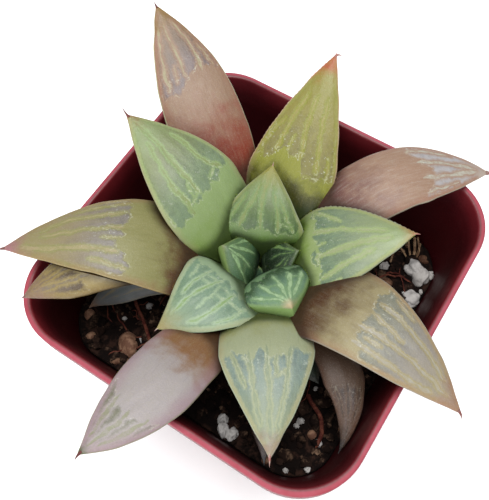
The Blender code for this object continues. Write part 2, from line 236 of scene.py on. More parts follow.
def mottling_group():
    """Two tones broken up by coarse and fine noise, with a height that follows them: the share of the
    second tone is a smooth step about Level of three quarters coarse noise and one quarter fine."""
    inputs = {"First": (0, 0, 0, 1), "Second": (1, 1, 1, 1), "Scale": 300.0, "Level": 0.5,
              "Softness": 0.1}
    tree, given, result = new_group("mottling", inputs, {"Colour": "Color", "Height": "Float"})
    place = add(tree, "ShaderNodeTexCoord").outputs["Object"]
    finer = sums(tree, "MULTIPLY", given["Scale"], 5.0)
    coarse, fine = (
        add(tree, "ShaderNodeTexNoise", {"Vector": place, "Scale": scale, "Detail": detail}).outputs[0]
        for scale, detail in ((given["Scale"], 4.0), (finer, 2.0))
    )
    both = scaled(tree, fine, 0.25, sums(tree, "MULTIPLY", coarse, 0.75))
    low, high = (sums(tree, kind, given["Level"], given["Softness"]) for kind in ("SUBTRACT", "ADD"))
    tone = blend(tree, rise(tree, both, low, high), given["First"], given["Second"])
    wire(tree, result, {"Colour": tone, "Height": both})
    return tree


mottling = mottling_group()


def mottled(tree, first, second, scale, level=0.5, softness=0.1):
    """The outputs of the mottling group, placed in a material with its own values."""
    values = {"First": first, "Second": second, "Scale": scale, "Level": level, "Softness": softness}
    return add(tree, "ShaderNodeGroup", values, node_tree=mottling).outputs


def new_material(name):
    """An empty material: its tree and its Principled shader."""
    made = bpy.data.materials.new(name)
    made.use_nodes = True
    return made, made.node_tree, made.node_tree.nodes["Principled BSDF"]


def bump(tree, shader, height, depth, strength=1.0):
    """Lets a height in shares of depth (millimetres) tilt the shader's normal."""
    made = add(tree, "ShaderNodeBump", {"Height": height, "Distance": depth * MM, "Strength": strength})
    tree.links.new(made.outputs[0], shader.inputs["Normal"])


def pot_plastic():
    """Dull red-brown plastic: paler and pinker on the rim's top, partly rubbed wear and partly a painted
    highlight where light falls on it; darker inside below the rim, which is painted shade where little
    light gets in; with a dusting of dried soil low down and a faint orange-peel surface."""
    made, tree, shader = new_material("pot_plastic")
    place = add(tree, "ShaderNodeTexCoord").outputs["Object"]
    height = add(tree, "ShaderNodeSeparateXYZ", {0: place}).outputs[2]
    inside = read(tree, "inside")
    wall = mottled(tree, colour(112, 22, 32), colour(132, 30, 38), 60.0, softness=0.2)["Colour"]
    # Painted highlight with wear: the rim's top is painted paler and pinker, partly as rubbed wear and
    # partly as where light falls on it.
    rubbed_and_lit = mottled(tree, colour(188, 76, 94), colour(174, 58, 74), 90.0, softness=0.16)["Colour"]
    worn = scaled(tree, noise(tree, 500.0), 0.8 * MM, scaled(tree, inside, -2.8 * MM, height))
    wear_and_highlight = rise(tree, worn, 62.6 * MM, 64.8 * MM)
    # Painted shade: the inner wall is painted darker below the rim, where little light gets in.
    inside_shade = sums(tree, "MULTIPLY", inside, rise(tree, height, 65.0 * MM, 60.5 * MM))
    wall = blend(tree, sums(tree, "MULTIPLY", inside_shade, 0.75), wall, colour(44, 6, 9))
    skin = blend(tree, wear_and_highlight, wall, rubbed_and_lit)
    dust = rise(tree, noise(tree, 260.0, detail=6.0, roughness=0.7), 0.56, 0.72)
    dust = sums(tree, "MULTIPLY", dust, rise(tree, height, 56.0 * MM, 44.0 * MM))
    skin = blend(tree, sums(tree, "MULTIPLY", dust, 0.1), skin, colour(92, 70, 60))
    satin = scaled(tree, wear_and_highlight, 0.22, scaled(tree, noise(tree, 900.0), 0.2, 0.38))
    shine = scaled(tree, inside_shade, -0.3, 0.5)
    wire(tree, shader, {"Base Color": skin, "Roughness": satin, "Specular IOR Level": shine})
    bump(tree, shader, noise(tree, 1800.0, detail=2.0), 0.05, 0.5)
    return made


pot_rows = [
    (wall_inset(0) + 0.4, 0.0, 0.0),
    (wall_inset(0), 0.4, 0.3),
    (wall_inset(COLLAR), COLLAR, 0.3),
    (0.25, COLLAR + 0.25, 0.25),
    (0.0, POT_HEIGHT, 0.45),
    (RIM_WIDTH, POT_HEIGHT, 0.4),
    (LIP_WIDTH, POT_HEIGHT - LIP_DEPTH, 0.5),
    (wall_inset(COLLAR) + WALL, COLLAR, 0.8),
    (wall_inset(FLOOR) + WALL, FLOOR, 0.4),
    (wall_inset(FLOOR) + WALL + 2.0, FLOOR, 0.0),
]
pot_profile = eased(pot_rows)
outline = rounded_squares(pot_profile[:, 0], corner_points=18, side_points=12)
levels = np.broadcast_to(pot_profile[:, 1][:, None, None], (*outline.shape[:2], 1))
past_rim = np.arange(len(pot_profile)) > pot_profile[:, 1].argmax()
inside = past_rim * np.clip((pot_profile[:, 0] - INSIDE_START) / INSIDE_BLEND, 0.0, 1.0)
inside = np.concatenate([np.repeat(inside, outline.shape[1]), [0.0, 1.0]])
shell = closed_body(np.concatenate([outline, levels], -1))
pot = new_piece("pot_shell", *shell, {"inside": inside}, sharp=40.0)
for drain_x in (-DRAIN_OFFSET, DRAIN_OFFSET):
    for drain_y in (-DRAIN_OFFSET, DRAIN_OFFSET):
        heights = (-DRAIN_PUNCH, FLOOR + DRAIN_PUNCH)
        hole = np.stack([circle(DRAIN_RADIUS, z, drain_x, drain_y) for z in heights])
        punch = new_piece("drain_punch", *closed_body(hole))
        cut_away(pot, punch)
        bpy.data.objects.remove(punch)
pot.data.materials.append(pot_plastic())
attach(pot, "root")
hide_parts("pot")

# ---- Potting mix -------------------------------------------------------------------------------
# Dark peaty mix that fills the pot to about 18 mm below the rim: a lumpy surface with a hollow round
# the stem, and over a thousand loose crumbs of peat and bark lying on it.

SOIL_HEIGHT = 46.2
SOIL_RISE = 0.03
SOIL_DIP = 1.5
SOIL_DIP_RADIUS = 13.0
SOIL_GAP = 0.3
SOIL_RINGS = 90
STEM_HOLE = 5.9
STEM_FOOT = 37.7
CRUMB_COUNT = 1500
STREWN_HALF = 30.0  # grains are strewn over a square of twice this size


def lattice_noise(x, y, seed):
    """Noise from -1 to 1: random heights on whole-number places, joined by smooth steps."""
    table = np.random.default_rng(seed).uniform(-1.0, 1.0, (256, 256))
    i, j = np.floor(x).astype(int), np.floor(y).astype(int)
    across, up = smooth_step(x - i), smooth_step(y - j)
    low = table[i % 256, j % 256] * (1 - across) + table[(i + 1) % 256, j % 256] * across
    high = table[i % 256, (j + 1) % 256] * (1 - across) + table[(i + 1) % 256, (j + 1) % 256] * across
    return low * (1 - up) + high * up


def soil_level(x, y, crumb=1.0):
    """Height of the mix: a slope, less a bell-shaped hollow round the stem, plus lumps of 6, 2.6 and
    0.9 mm that fade out towards the stem; crumb is the share of the smallest lumps."""
    distance = np.hypot(x, y)
    lumps = 0.5 * lattice_noise(x / 6.0, y / 6.0, 3) + 0.35 * lattice_noise(x / 2.6, y / 2.6, 4)
    lumps = lumps + crumb * 0.3 * lattice_noise(x / 0.9, y / 0.9, 5)
    ease = smooth_step((distance - 7.0) / 12.0)
    dip = SOIL_DIP * np.exp(-((distance / SOIL_DIP_RADIUS) ** 2))
    return SOIL_HEIGHT - SOIL_RISE * x - dip + lumps * ease


def soil_rings():
    """Underside, walls along the pot's inside, the surface drawn in from the wall to the stem's hole
    in straight shares, and the hole's wall and bottom."""
    low = FLOOR + SOIL_GAP
    edge = wall_inset(SOIL_HEIGHT) + WALL + SOIL_GAP
    foot_edge = wall_inset(low) + WALL + SOIL_GAP
    sides = rounded_squares([foot_edge, edge], corner_points=14, side_points=26)
    rim = sides[1]
    turn = np.arctan2(rim[:, 1], rim[:, 0])
    hole = STEM_HOLE * np.stack([np.cos(turn), np.sin(turn)], -1)
    shares = np.linspace(1.0, 0.0, SOIL_RINGS)[:, None, None]
    surface = rim * shares + hole * (1 - shares)
    heights = soil_level(surface[..., 0], surface[..., 1])
    heights[0] -= 0.4
    top = np.concatenate([surface, heights[..., None]], -1)
    foot = np.concatenate([sides[0], np.full((len(rim), 1), low)], 1)
    pit = [np.concatenate([hole * s, np.full((len(rim), 1), STEM_FOOT)], 1) for s in (1.0, 0.5)]
    return np.concatenate([foot[None], top, np.stack(pit)])


def mix_material(name, dark, light, scale, level, rough=0.95, deepest=(96, 84, 80)):
    """Crumbly matter in two tones; each crumb's own tone tints it, at most with the deepest colour."""
    made, tree, shader = new_material(name)
    grain = mottled(tree, dark, light, scale, level, 0.08)
    tint = tuple(part * STUDIO_LIGHT for part in colour(*deepest)[:3])
    tone = sums(tree, "POWER", read(tree, "tone"), 0.6)
    tone = blend(tree, tone, (1.0, 1.0, 1.0, 1.0), (*tint, 1.0))
    skin = blend(tree, 1.0, grain["Colour"], tone, "MULTIPLY")
    wire(tree, shader, {"Base Color": skin, "Roughness": rough, "Specular IOR Level": 0.12})
    bump(tree, shader, grain["Height"], 0.35, 0.8)
    return made


def matrices(rows):
    """A turning matrix for each lump, from three rows of three arrays."""
    return np.stack([np.stack(row, -1) for row in rows], 1)


def lumps(places, sizes, seed, rows, columns, unevenness, flatness, waves=5, sharpness=3.0):
    """Uneven lumps in one mesh. Each is a ball whose radius is 1 plus a sum of sine waves over its
    directions, squashed, turned by a random rotation and set at its place; whole arrays at once."""
    draw = np.random.default_rng(seed)
    count = len(places)
    polar = np.linspace(0.0, math.pi, rows + 2)[1:-1]
    turn = np.linspace(0.0, 2 * math.pi, columns, endpoint=False)
    ring = np.stack([np.outer(np.sin(polar), np.cos(turn)), np.outer(np.sin(polar), np.sin(turn)),
                     np.outer(np.cos(polar), np.ones(columns))], -1).reshape(-1, 3)
    ball = np.concatenate([ring, [[0.0, 0.0, 1.0], [0.0, 0.0, -1.0]]])
    pull = draw.normal(0.0, sharpness, (count, waves, 3))
    phase = draw.uniform(0.0, 2 * math.pi, (count, 1, waves))
    swell = np.sin(np.einsum("vc,nwc->nvw", ball, pull) + phase).sum(-1) * unevenness / math.sqrt(waves)
    shaped = ball[None] * (1.0 + swell)[..., None]
    zero, one = np.zeros(count), np.ones(count)
    stretch = np.stack([one, draw.uniform(0.7, 1.0, count), draw.uniform(*flatness, count)], -1)
    shaped = shaped * stretch[:, None]
    tilt = draw.normal(0.0, 0.3, (count, 2))
    angles = np.stack([tilt[:, 0], tilt[:, 1], draw.uniform(0.0, 2 * math.pi, count)])
    (cx, cy, cz), (sx, sy, sz) = np.cos(angles), np.sin(angles)
    about_x = matrices([(one, zero, zero), (zero, cx, -sx), (zero, sx, cx)])
    about_y = matrices([(cy, zero, sy), (zero, one, zero), (-sy, zero, cy)])
    about_z = matrices([(cz, -sz, zero), (sz, cz, zero), (zero, zero, one)])
    shaped = np.einsum("nij,nvj->nvi", about_z @ about_y @ about_x, shaped)
    points = shaped * (np.asarray(sizes)[:, None, None] / 2) + np.asarray(places)[:, None]
    shift = np.arange(count)[:, None, None] * len(ball)
    faces = []
    for part in body_faces(rows, columns):
        faces += (part[None, :, ::-1] + shift).reshape(-1, part.shape[1]).tolist()
    tones = np.repeat(draw.uniform(0.0, 1.0, count), len(ball))
    return points.reshape(-1, 3), faces, {"tone": tones}


def inside_pot(x, y, clear):
    """Whether a place lies that far clear of the inner wall at the soil's height."""
    half = RIM_HALF - wall_inset(SOIL_HEIGHT) - WALL - clear
    corner = RIM_CORNER - CORNER_CLOSING * (wall_inset(SOIL_HEIGHT) + WALL)
    over = np.stack([np.abs(x), np.abs(y)]) - half + corner
    return np.hypot(*np.maximum(over, 0.0)) + np.minimum(over.max(0), 0.0) < corner


def scattered(count, seed, sizes, sunk, nearest=8.0):
    """Seeded places on the mix, clear of the wall and of the stem, with sizes that favour small."""
    draw = np.random.default_rng(seed)
    x, y = draw.uniform(-STREWN_HALF, STREWN_HALF, (2, count * 3))
    size = sizes[0] + (sizes[1] - sizes[0]) * draw.uniform(0.0, 1.0, count * 3) ** 2.5
    keep = inside_pot(x, y, size * 0.6 + 0.2) & (np.hypot(x, y) > nearest)
    x, y, size = x[keep][:count], y[keep][:count], size[keep][:count]
    return np.stack([x, y, soil_level(x, y, 0.0) + size * (0.5 - sunk)], -1), size


soil = new_piece("soil_bed", *closed_body(soil_rings()), sharp=70.0)
peat = mix_material("soil_mix", colour(20, 11, 8), colour(58, 38, 30), scale=420.0, level=0.56)
soil.data.materials.append(peat)
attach(soil, "root")
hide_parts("soil")

places, sizes = scattered(CRUMB_COUNT, seed=11, sizes=(0.5, 3.2), sunk=0.35)
loose = lumps(places, sizes, seed=12, rows=4, columns=7, unevenness=0.30, flatness=(0.4, 0.9))
crumbs = new_piece("soil_crumbs", *loose, sharp=55.0)
crumb = mix_material("peat_crumb", colour(56, 38, 30), colour(160, 128, 104), scale=500.0, level=0.58)
crumbs.data.materials.append(crumb)
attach(crumbs, "root")

# ---- Perlite and pebbles -----------------------------------------------------------------------
# White puffed perlite grains up to 4.3 mm across, half sunk in the mix, and a few tan pebbles. Those
# that show from above have their own places; the others are strewn by a seeded draw.

SHOWN_GRAINS = [  # x, y, size, share of the size that stands out of the mix
    (25.2, 22.3, 4.3, 0.6), (27.2, 21.5, 4.3, 0.6), (28.9, 22.9, 1.9, 0.6), (27.9, 16.0, 3.6, 0.6),
    (29.0, 18.6, 1.1, 0.6), (9.8, -28.2, 3.2, 0.55), (21.3, -19.8, 1.3, 0.6), (27.2, -25.6, 1.6, 0.5),
    (23.9, -28.2, 1.3, 0.5), (-2.5, -27.8, 3.0, 0.6), (27.5, -10.0, 3.0, 0.5),
]
SHOWN_PEBBLES = [
    (-16.2, -24.4, 5.5, 0.5), (-27.0, -23.6, 2.8, 0.5), (-23.8, -27.2, 2.2, 0.5),
    (-16.5, -28.2, 2.6, 0.5), (26.2, 25.6, 2.6, 0.5), (22.0, 16.6, 2.4, 0.6), (24.7, -19.7, 2.0, 0.5),
    (19.8, -28.6, 2.0, 0.5),
]


def with_strewn(rows, count, seed, strewn_sizes, sunk):
    """Centres and sizes of the grains that show and of some more that are strewn by a seeded draw."""
    rows = np.array(rows)
    heights = soil_level(rows[:, 0], rows[:, 1], 0.0) + rows[:, 2] * (rows[:, 3] - 0.5)
    more_places, more_sizes = scattered(count, seed, strewn_sizes, sunk, nearest=15.0)
    shown = np.stack([rows[:, 0], rows[:, 1], heights], -1)
    return np.concatenate([shown, more_places]), np.concatenate([rows[:, 2], more_sizes])


places, sizes = with_strewn(SHOWN_GRAINS, count=34, seed=23, strewn_sizes=(1.0, 2.8), sunk=0.5)
grains = lumps(places, sizes, seed=31, rows=20, columns=26, unevenness=0.16, flatness=(0.7, 0.95),
               waves=9, sharpness=4.5)
perlite = new_piece("perlite_grains", *grains, sharp=80.0)
puffed = mix_material("perlite", (0.33, 0.315, 0.305, 1.0), (0.50, 0.48, 0.46, 1.0), scale=600.0,
                      level=0.45, deepest=(214, 212, 210))
perlite.data.materials.append(puffed)
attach(perlite, "root")

places, sizes = with_strewn(SHOWN_PEBBLES, count=10, seed=29, strewn_sizes=(1.2, 2.6), sunk=0.4)
worn = lumps(places, sizes, seed=33, rows=16, columns=22, unevenness=0.06, flatness=(0.6, 0.9))
pebbles = new_piece("pebbles", *worn, sharp=80.0)
stone = mix_material("pebble_stone", colour(140, 100, 80), colour(186, 144, 116), scale=700.0,
                     level=0.5, rough=0.7, deepest=(150, 138, 130))
pebbles.data.materials.append(stone)
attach(pebbles, "root")

# ---- Fibres ------------------------------------------------------------------------------------
# Reddish root and coir fibres that lie over the mix, and a dry straw-coloured tuft at the right. Each
# is a thin tube that follows its own wandering line.

SHOWN_FIBRES = [  # radius, then (x, y, height over the mix) places that it runs through
    (0.38, [(-21.0, -15.0, 3.0), (-19.9, -16.6, 2.6), (-16.5, -18.7, 1.6), (-13.0, -21.3, 0.7),
            (-11.0, -23.5, 0.3)]),
    (0.28, [(14.0, -17.0, 0.8), (17.0, -18.5, 1.6), (18.5, -21.0, 1.4), (17.5, -24.0, 0.9),
            (19.5, -26.0, 0.5)]),
    (0.45, [(20.0, -13.5, 1.0), (21.4, -14.6, 1.5), (24.6, -16.2, 1.9), (26.4, -18.7, 1.1),
            (26.6, -21.5, 0.4)]),
    (0.22, [(9.0, -20.0, 1.0), (12.5, -21.0, 1.8), (14.0, -24.5, 0.7)]),
]
STRAWS = [
    (0.34, [(24.2, 24.6, 0.1), (23.4, 26.4, 1.2), (22.2, 28.0, 2.8)]),
    (0.26, [(23.6, 24.2, 0.1), (22.2, 25.8, 1.4), (20.8, 27.6, 2.6)]),
    (0.30, [(24.6, 25.2, 0.2), (24.2, 26.8, 1.0), (23.8, 28.0, 1.8)]),
    (0.22, [(23.2, 23.6, 0.2), (21.6, 24.2, 1.4), (19.8, 24.8, 2.2)]),
    (0.20, [(24.8, 23.8, 0.2), (24.6, 26.0, 1.6), (22.8, 28.2, 3.4)]),
    (0.24, [(20.4, 21.0, 0.4), (20.0, 22.8, 1.6), (20.2, 24.4, 2.4)]),
]
STREWN_FIBRES = 90
FIBRE_POINTS = 14


def tube(line, radius, sides=7):
    """Rings about a line: each lies across the line's direction and shrinks to a point at both ends."""
    ahead = np.gradient(line, axis=0)
    ahead /= np.linalg.norm(ahead, axis=1)[:, None]
    across = np.cross(ahead, [0.12, 0.05, 1.0])
    across /= np.linalg.norm(across, axis=1)[:, None]
    up = np.cross(ahead, across)
    turn = np.linspace(0.0, 2 * math.pi, sides, endpoint=False)
    width = radius * np.minimum(1.0, 0.15 + 6.0 * np.sin(np.linspace(0.0, math.pi, len(line))))
    ring = np.cos(turn)[None, :, None] * across[:, None] + np.sin(turn)[None, :, None] * up[:, None]
    return line[:, None] + width[:, None, None] * ring


def joined(bodies):
    """Several closed bodies as one mesh's points and faces."""
    points, faces, first = [], [], 0
    for own_points, own_faces in bodies:
        points.append(own_points)
        faces += [[first + k for k in face] for face in own_faces]
        first += len(own_points)
    return np.concatenate(points), faces


def wandering(start, heading, length, draw):
    """A line over the mix whose heading drifts by a seeded random walk and whose height arches up."""
    turn = heading + np.cumsum(draw.normal(0.0, 0.28, FIBRE_POINTS))
    step = length / FIBRE_POINTS
    x = start[0] + np.cumsum(np.cos(turn)) * step
    y = start[1] + np.cumsum(np.sin(turn)) * step
    arch = np.sin(np.linspace(0.0, math.pi, FIBRE_POINTS)) * draw.uniform(0.3, 1.6)
    return np.stack([x, y, soil_level(x, y, 0.0) + 0.3 + arch], -1)


def placed_fibres(rows):
    """Fibres, each smoothed through its places over the mix."""
    bodies = []
    for radius, stops in rows:
        stops = np.array(stops)
        share = np.linspace(0.0, len(stops) - 1.0, 24)
        line = np.stack([np.interp(share, range(len(stops)), stops[:, k]) for k in range(3)], -1)
        line[1:-1] = (line[:-2] + line[1:-1] + line[2:]) / 3
        line[:, 2] += soil_level(line[:, 0], line[:, 1], 0.0)
        bodies.append(closed_body(tube(line, radius)))
    return bodies


def strewn_fibres():
    """Seeded fibres over the whole mix."""
    bodies = []
    draw = np.random.default_rng(41)
    for _ in range(STREWN_FIBRES):
        start = draw.uniform(-24.0, 24.0, 2)
        line = wandering(start, draw.uniform(0.0, 6.3), draw.uniform(3.0, 11.0), draw)
        radius = draw.uniform(0.07, 0.2)
        x, y = line[:, 0], line[:, 1]
        if inside_pot(x, y, 0.5).all() and (np.hypot(x, y) > 9.0).all():
            bodies.append(closed_body(tube(line, radius, 5)))
    return bodies


fibres = new_piece("root_fibres", *joined(placed_fibres(SHOWN_FIBRES) + strewn_fibres()), sharp=70.0)
coir = mix_material("root_fibre", colour(84, 36, 30), colour(126, 72, 56), scale=900.0, level=0.5,
                    rough=0.8)
fibres.data.materials.append(coir)
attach(fibres, "root")

straws = new_piece("straw_tuft", *joined(placed_fibres(STRAWS)), sharp=70.0)
straw = mix_material("dry_straw", colour(118, 88, 66), colour(172, 140, 108), scale=900.0, level=0.5,
                     rough=0.8)
straws.data.materials.append(straw)
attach(straws, "root")

# ---- Stem --------------------------------------------------------------------------------------
# Short woody crown that the leaves grow from, almost hidden by them. The solid from the part stays
# and gets a scarred, corky bark.

def stem_bark():
    """Corky bark: pale brown with darker rings where old leaves were attached."""
    made, tree, shader = new_material("stem_bark")
    place = add(tree, "ShaderNodeTexCoord").outputs["Object"]
    waves = {"Vector": place, "Scale": 260.0, "Distortion": 3.0}
    rings = add(tree, "ShaderNodeTexWave", waves, bands_direction="Z").outputs["Fac"]
    cork = mottled(tree, colour(88, 66, 44), colour(140, 116, 82), 700.0)
    skin = blend(tree, sums(tree, "MULTIPLY", rings, 0.5), cork["Colour"], colour(60, 42, 30))
    wire(tree, shader, {"Base Color": skin, "Roughness": 0.85})
    bump(tree, shader, cork["Height"], 0.3)
    return made


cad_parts["stem"].material_slots[0].material = stem_bark()

# ---- Young leaves ------------------------------------------------------------------------------
# The four smallest leaves in the middle of the rosette, dark green and still closed over each other,
# with pale branching lines. Every leaf is one fleshy body, flat above and full below, that narrows to
# a fine point; its upper end is a window of clear tissue between the lines.

LEAF_SPREAD = 1.5
STEM_TOP = 50.0
LEAF_STEP = 0.22
UPPER_SHARE = 0.30  # share of a leaf's thickness that lies above its centre line
UPPER_POWER, LOWER_POWER = 1.35, 1.5  # how round the upper and the lower face are
BASE_WIDTH, BASE_DEPTH = 0.6, 0.5  # the foot of a blade as a share of its widest and thickest
RING_CROWDING = 1.15  # above 1, rings lie closer together towards the tip
PRESS_GAP = 0.22  # leaves that press on each other stay this far apart
FINE_RING = 0.34  # spacing of a leaf's rings
FINE_ACROSS = 0.18  # spacing across its upper face
CURVE_STEPS = 400
CROWD_LOW = np.array([-50.0, -50.0, 36.0])  # lowest corner of the space that crowding is worked out in
CROWD_SHAPE = (100, 100, 50)  # its size in cells of 1 mm


def blade_lines(number, row, ways):
    """Centre, direction, side and upward vectors, half width and thickness at each share of length.

    The heading turns by bend with the square of the way along; the slope goes from climb to fall over
    the middle of the blade; the width swells to the widest place and then falls as one less the power
    point of the way that is left; the thickness falls with the power blunt of what is left of it."""
    fine = np.linspace(0.0, 1.0, CURVE_STEPS + 1)
    slope = np.radians(row["climb"] + (row["fall"] - row["climb"]) * smooth_step((fine - 0.2) / 0.6))
    heading = np.radians(row["azimuth"] + row.get("bend", 0.0) * fine**2)
    flat = np.cos(slope)
    along = np.stack([flat * np.cos(heading), flat * np.sin(heading), np.sin(slope)], -1)
    steps = (along[1:] + along[:-1]) / 2 * row["length"] / CURVE_STEPS
    walk = np.concatenate([np.zeros((1, 3)), np.cumsum(steps, axis=0)])
    start = LEAF_SPREAD * math.sqrt(number)
    azimuth = math.radians(row["azimuth"])
    lead = np.array([math.cos(azimuth), math.sin(azimuth), 0.0])
    walk = walk + lead * start + np.array([0.0, 0.0, row["height"]])
    centre, along = (
        np.stack([np.interp(ways, fine, line[:, k]) for k in range(3)], -1) for line in (walk, along)
    )
    heading = np.interp(ways, fine, heading)
    side = np.stack([-np.sin(heading), np.cos(heading), 0.0 * heading], -1)
    widest = row.get("widest", 0.45)
    swell = np.sin(np.clip(ways / widest, 0.0, 1.0) * math.pi / 2)
    taper = np.clip((ways - widest) / (1.0 - widest), 0.0, 1.0)
    narrow = 1.0 - taper ** row.get("point", 1.55)
    thin = (1.0 - taper) ** row.get("blunt", 0.75)
    half = row["width"] / 2 * np.where(ways < widest, BASE_WIDTH + (1 - BASE_WIDTH) * swell, narrow)
    depth = row["thick"] * np.where(ways < widest, BASE_DEPTH + (1 - BASE_DEPTH) * swell, thin)
    root = lead * start * 0.5 + np.array([0.0, 0.0, STEM_TOP - LEAF_STEP * number])
    neck = np.array([[0.0], [0.5]])
    centre = np.concatenate([root + (centre[0] - root) * neck, centre])
    along = np.concatenate([np.repeat(along[:1], 2, 0), along])
    side = np.concatenate([np.repeat(side[:1], 2, 0), side])
    half = np.concatenate([half[0] * (0.75 + 0.25 * neck[:, 0]), half])
    depth = np.concatenate([np.repeat(depth[:1] * 0.8, 2), depth])
    up = np.cross(along, side)
    return centre, along, side, up / np.linalg.norm(up, axis=1)[:, None], half, depth


def uneven_blade(number, row, rows, turn, half, across, lift):
    """Low swellings over the faces, waves and small teeth along the edges of a leaf's rings."""
    seed = 100 + number
    sideways = np.cos(turn)
    ring = np.arange(len(half))[:, None]
    x, y = across / 2.2, (ring * row["length"] / rows + 0.0 * turn) / 5.0
    swelling = lattice_noise(x + 40.0, y + 7.0, seed) * 0.5
    swelling = swelling + lattice_noise(x * 2.5 + 9.0, y * 2.0 + 3.0, seed) * 0.2
    fade = np.minimum(1.0, half / 3.0)[:, None]
    lift = lift + 0.16 * swelling * np.sin(turn) ** 2 * fade
    edge = lattice_noise(ring / 9.0 + 5.0, np.sign(sideways) * 3.0 + 10.0, seed)
    across = across + np.sign(sideways) * np.abs(sideways) ** 8 * (0.12 * edge - 0.1)
    saw = np.abs(((ring * 0.37) % 1.0) - 0.5) * 2.0
    return across + np.maximum(sideways, 0.0) ** 40 * saw * row.get("teeth", 0.0), lift


def leaf_rings(number, row, rows, upper_sides, lower_sides, grow=0.0, detail=True):
    """Rings of a leaf from its neck to its tip. Across the blade the surface is a lens: half width
    times the cosine of the turn sideways, and the sine's size to a power upwards or downwards. The
    turn's steps give nearly even spacing over the upper face. The finished leaf is uneven too."""
    ways = 1.0 - (1.0 - np.linspace(0.0, 1.0, rows)) ** RING_CROWDING
    centre, _, side, up, half, depth = blade_lines(number, row, ways)
    half = np.maximum(half, 0.10) + grow
    upper = np.maximum(UPPER_SHARE * depth, 0.08) + grow
    lower = np.maximum((1 - UPPER_SHARE) * depth, 0.10) + grow
    share = np.linspace(0.0, 1.0, upper_sides + 1)
    over = np.arccos(0.65 * (1.0 - 2.0 * share) + 0.35 * np.cos(math.pi * share))
    turn = np.concatenate([over, np.linspace(math.pi, 2 * math.pi, lower_sides + 1)[1:-1]])
    height = np.abs(np.sin(turn))
    above, below = upper[:, None] * height**UPPER_POWER, -lower[:, None] * height**LOWER_POWER
    lift = np.where(np.sin(turn) >= 0, above, below)
    across = half[:, None] * np.cos(turn)
    if detail:
        across, lift = uneven_blade(number, row, rows, turn, half, across, lift)
    rings = centre[:, None] + across[..., None] * side[:, None] + lift[..., None] * up[:, None]
    return rings, turn, half, np.concatenate([[0.0, 0.0], ways])


def line_distance(x, y, lines, half_at, length, seed):
    """Distance in millimetres from each place on the blade to the nearest line's edge, negative in
    it. A line's half width and its stops, across in shares of the blade's half width and along in
    shares of its length, come in hundredths. It is followed in short steps with a seeded sideways
    wander, and the nearest point of every straight step is found for all places at once."""
    draw = np.random.default_rng(seed)
    nearest = np.full(x.shape, 9.0)
    for wide, *stops in lines:
        stops = np.array(stops, float).reshape(-1, 2) / 100.0
        count = max(3, int(np.abs(np.diff(stops[:, 1])).sum() * length / 0.8) + 2 * len(stops))
        share = np.linspace(0.0, len(stops) - 1.0, count)
        u = np.interp(share, range(len(stops)), stops[:, 0])
        v = np.interp(share, range(len(stops)), stops[:, 1])
        wander = np.convolve(draw.normal(0.0, 0.16, count + 2), [0.25, 0.5, 0.25], "valid")
        px, py = u * half_at(v) + wander, v * length
        uneven = np.convolve(draw.normal(0.0, 1.0, count + 2), [0.3, 0.4, 0.3], "valid")
        from_end = np.minimum(np.arange(count) + 1.5, count - np.arange(count) + 0.5)
        width = wide / 100.0 * (1.0 + 0.35 * uneven) * np.clip(from_end / 3.0, 0.4, 1.0)
        step_x, step_y = np.diff(px), np.diff(py)
        reach = (x[:, None] - px[:-1]) * step_x + (y[:, None] - py[:-1]) * step_y
        reach = np.clip(reach / (step_x**2 + step_y**2 + 1e-9), 0.0, 1.0)
        gap = np.hypot(x[:, None] - px[:-1] - reach * step_x, y[:, None] - py[:-1] - reach * step_y)
        gap = gap - (width[:-1] + (width[1:] - width[:-1]) * reach)
        nearest = np.minimum(nearest, gap.min(1))
    return nearest


crowd = np.zeros(CROWD_SHAPE)


def fill_crowd(number, row):
    """Marks the cells that a leaf fills, by places spread evenly through its lens-shaped sections."""
    centre, _, side, up, half, depth = blade_lines(number, row, np.linspace(0.0, 1.0, 140))
    u = np.linspace(-0.97, 0.97, 31)[:, None]
    w = np.linspace(-1.0 + UPPER_SHARE, UPPER_SHARE, 12)[None]
    lens = (1.0 - u**2) ** 0.7 * w
    places = centre[:, None, None] + (u * half[:, None, None])[..., None] * side[:, None, None]
    places = places + (lens * depth[:, None, None])[..., None] * up[:, None, None]
    cells = np.floor(places - CROWD_LOW).astype(int).reshape(-1, 3)
    cells = cells[((cells >= 0) & (cells < CROWD_SHAPE)).all(1)]
    crowd[tuple(cells.T)] = 1.0


def crowding(points):
    """Share of the space within about 4 mm of each point that younger leaves fill: the cells are
    averaged twice over five neighbours each way, then read between the eight nearest cells."""
    soft = crowd.copy()
    for axis in (0, 0, 1, 1, 2, 2):
        soft = sum(np.roll(soft, step, axis) for step in (-2, -1, 0, 1, 2)) / 5.0
    place = np.clip(points - CROWD_LOW - 0.5, 0.0, np.array(CROWD_SHAPE) - 1.001)
    cell = place.astype(int)
    share = place - cell
    total = 0.0
    for corner in np.ndindex(2, 2, 2):
        weight = np.prod(np.abs(1 - np.array(corner) - share), axis=-1)
        total = total + weight * soft[tuple(np.moveaxis(cell + corner, -1, 0))]
    return total


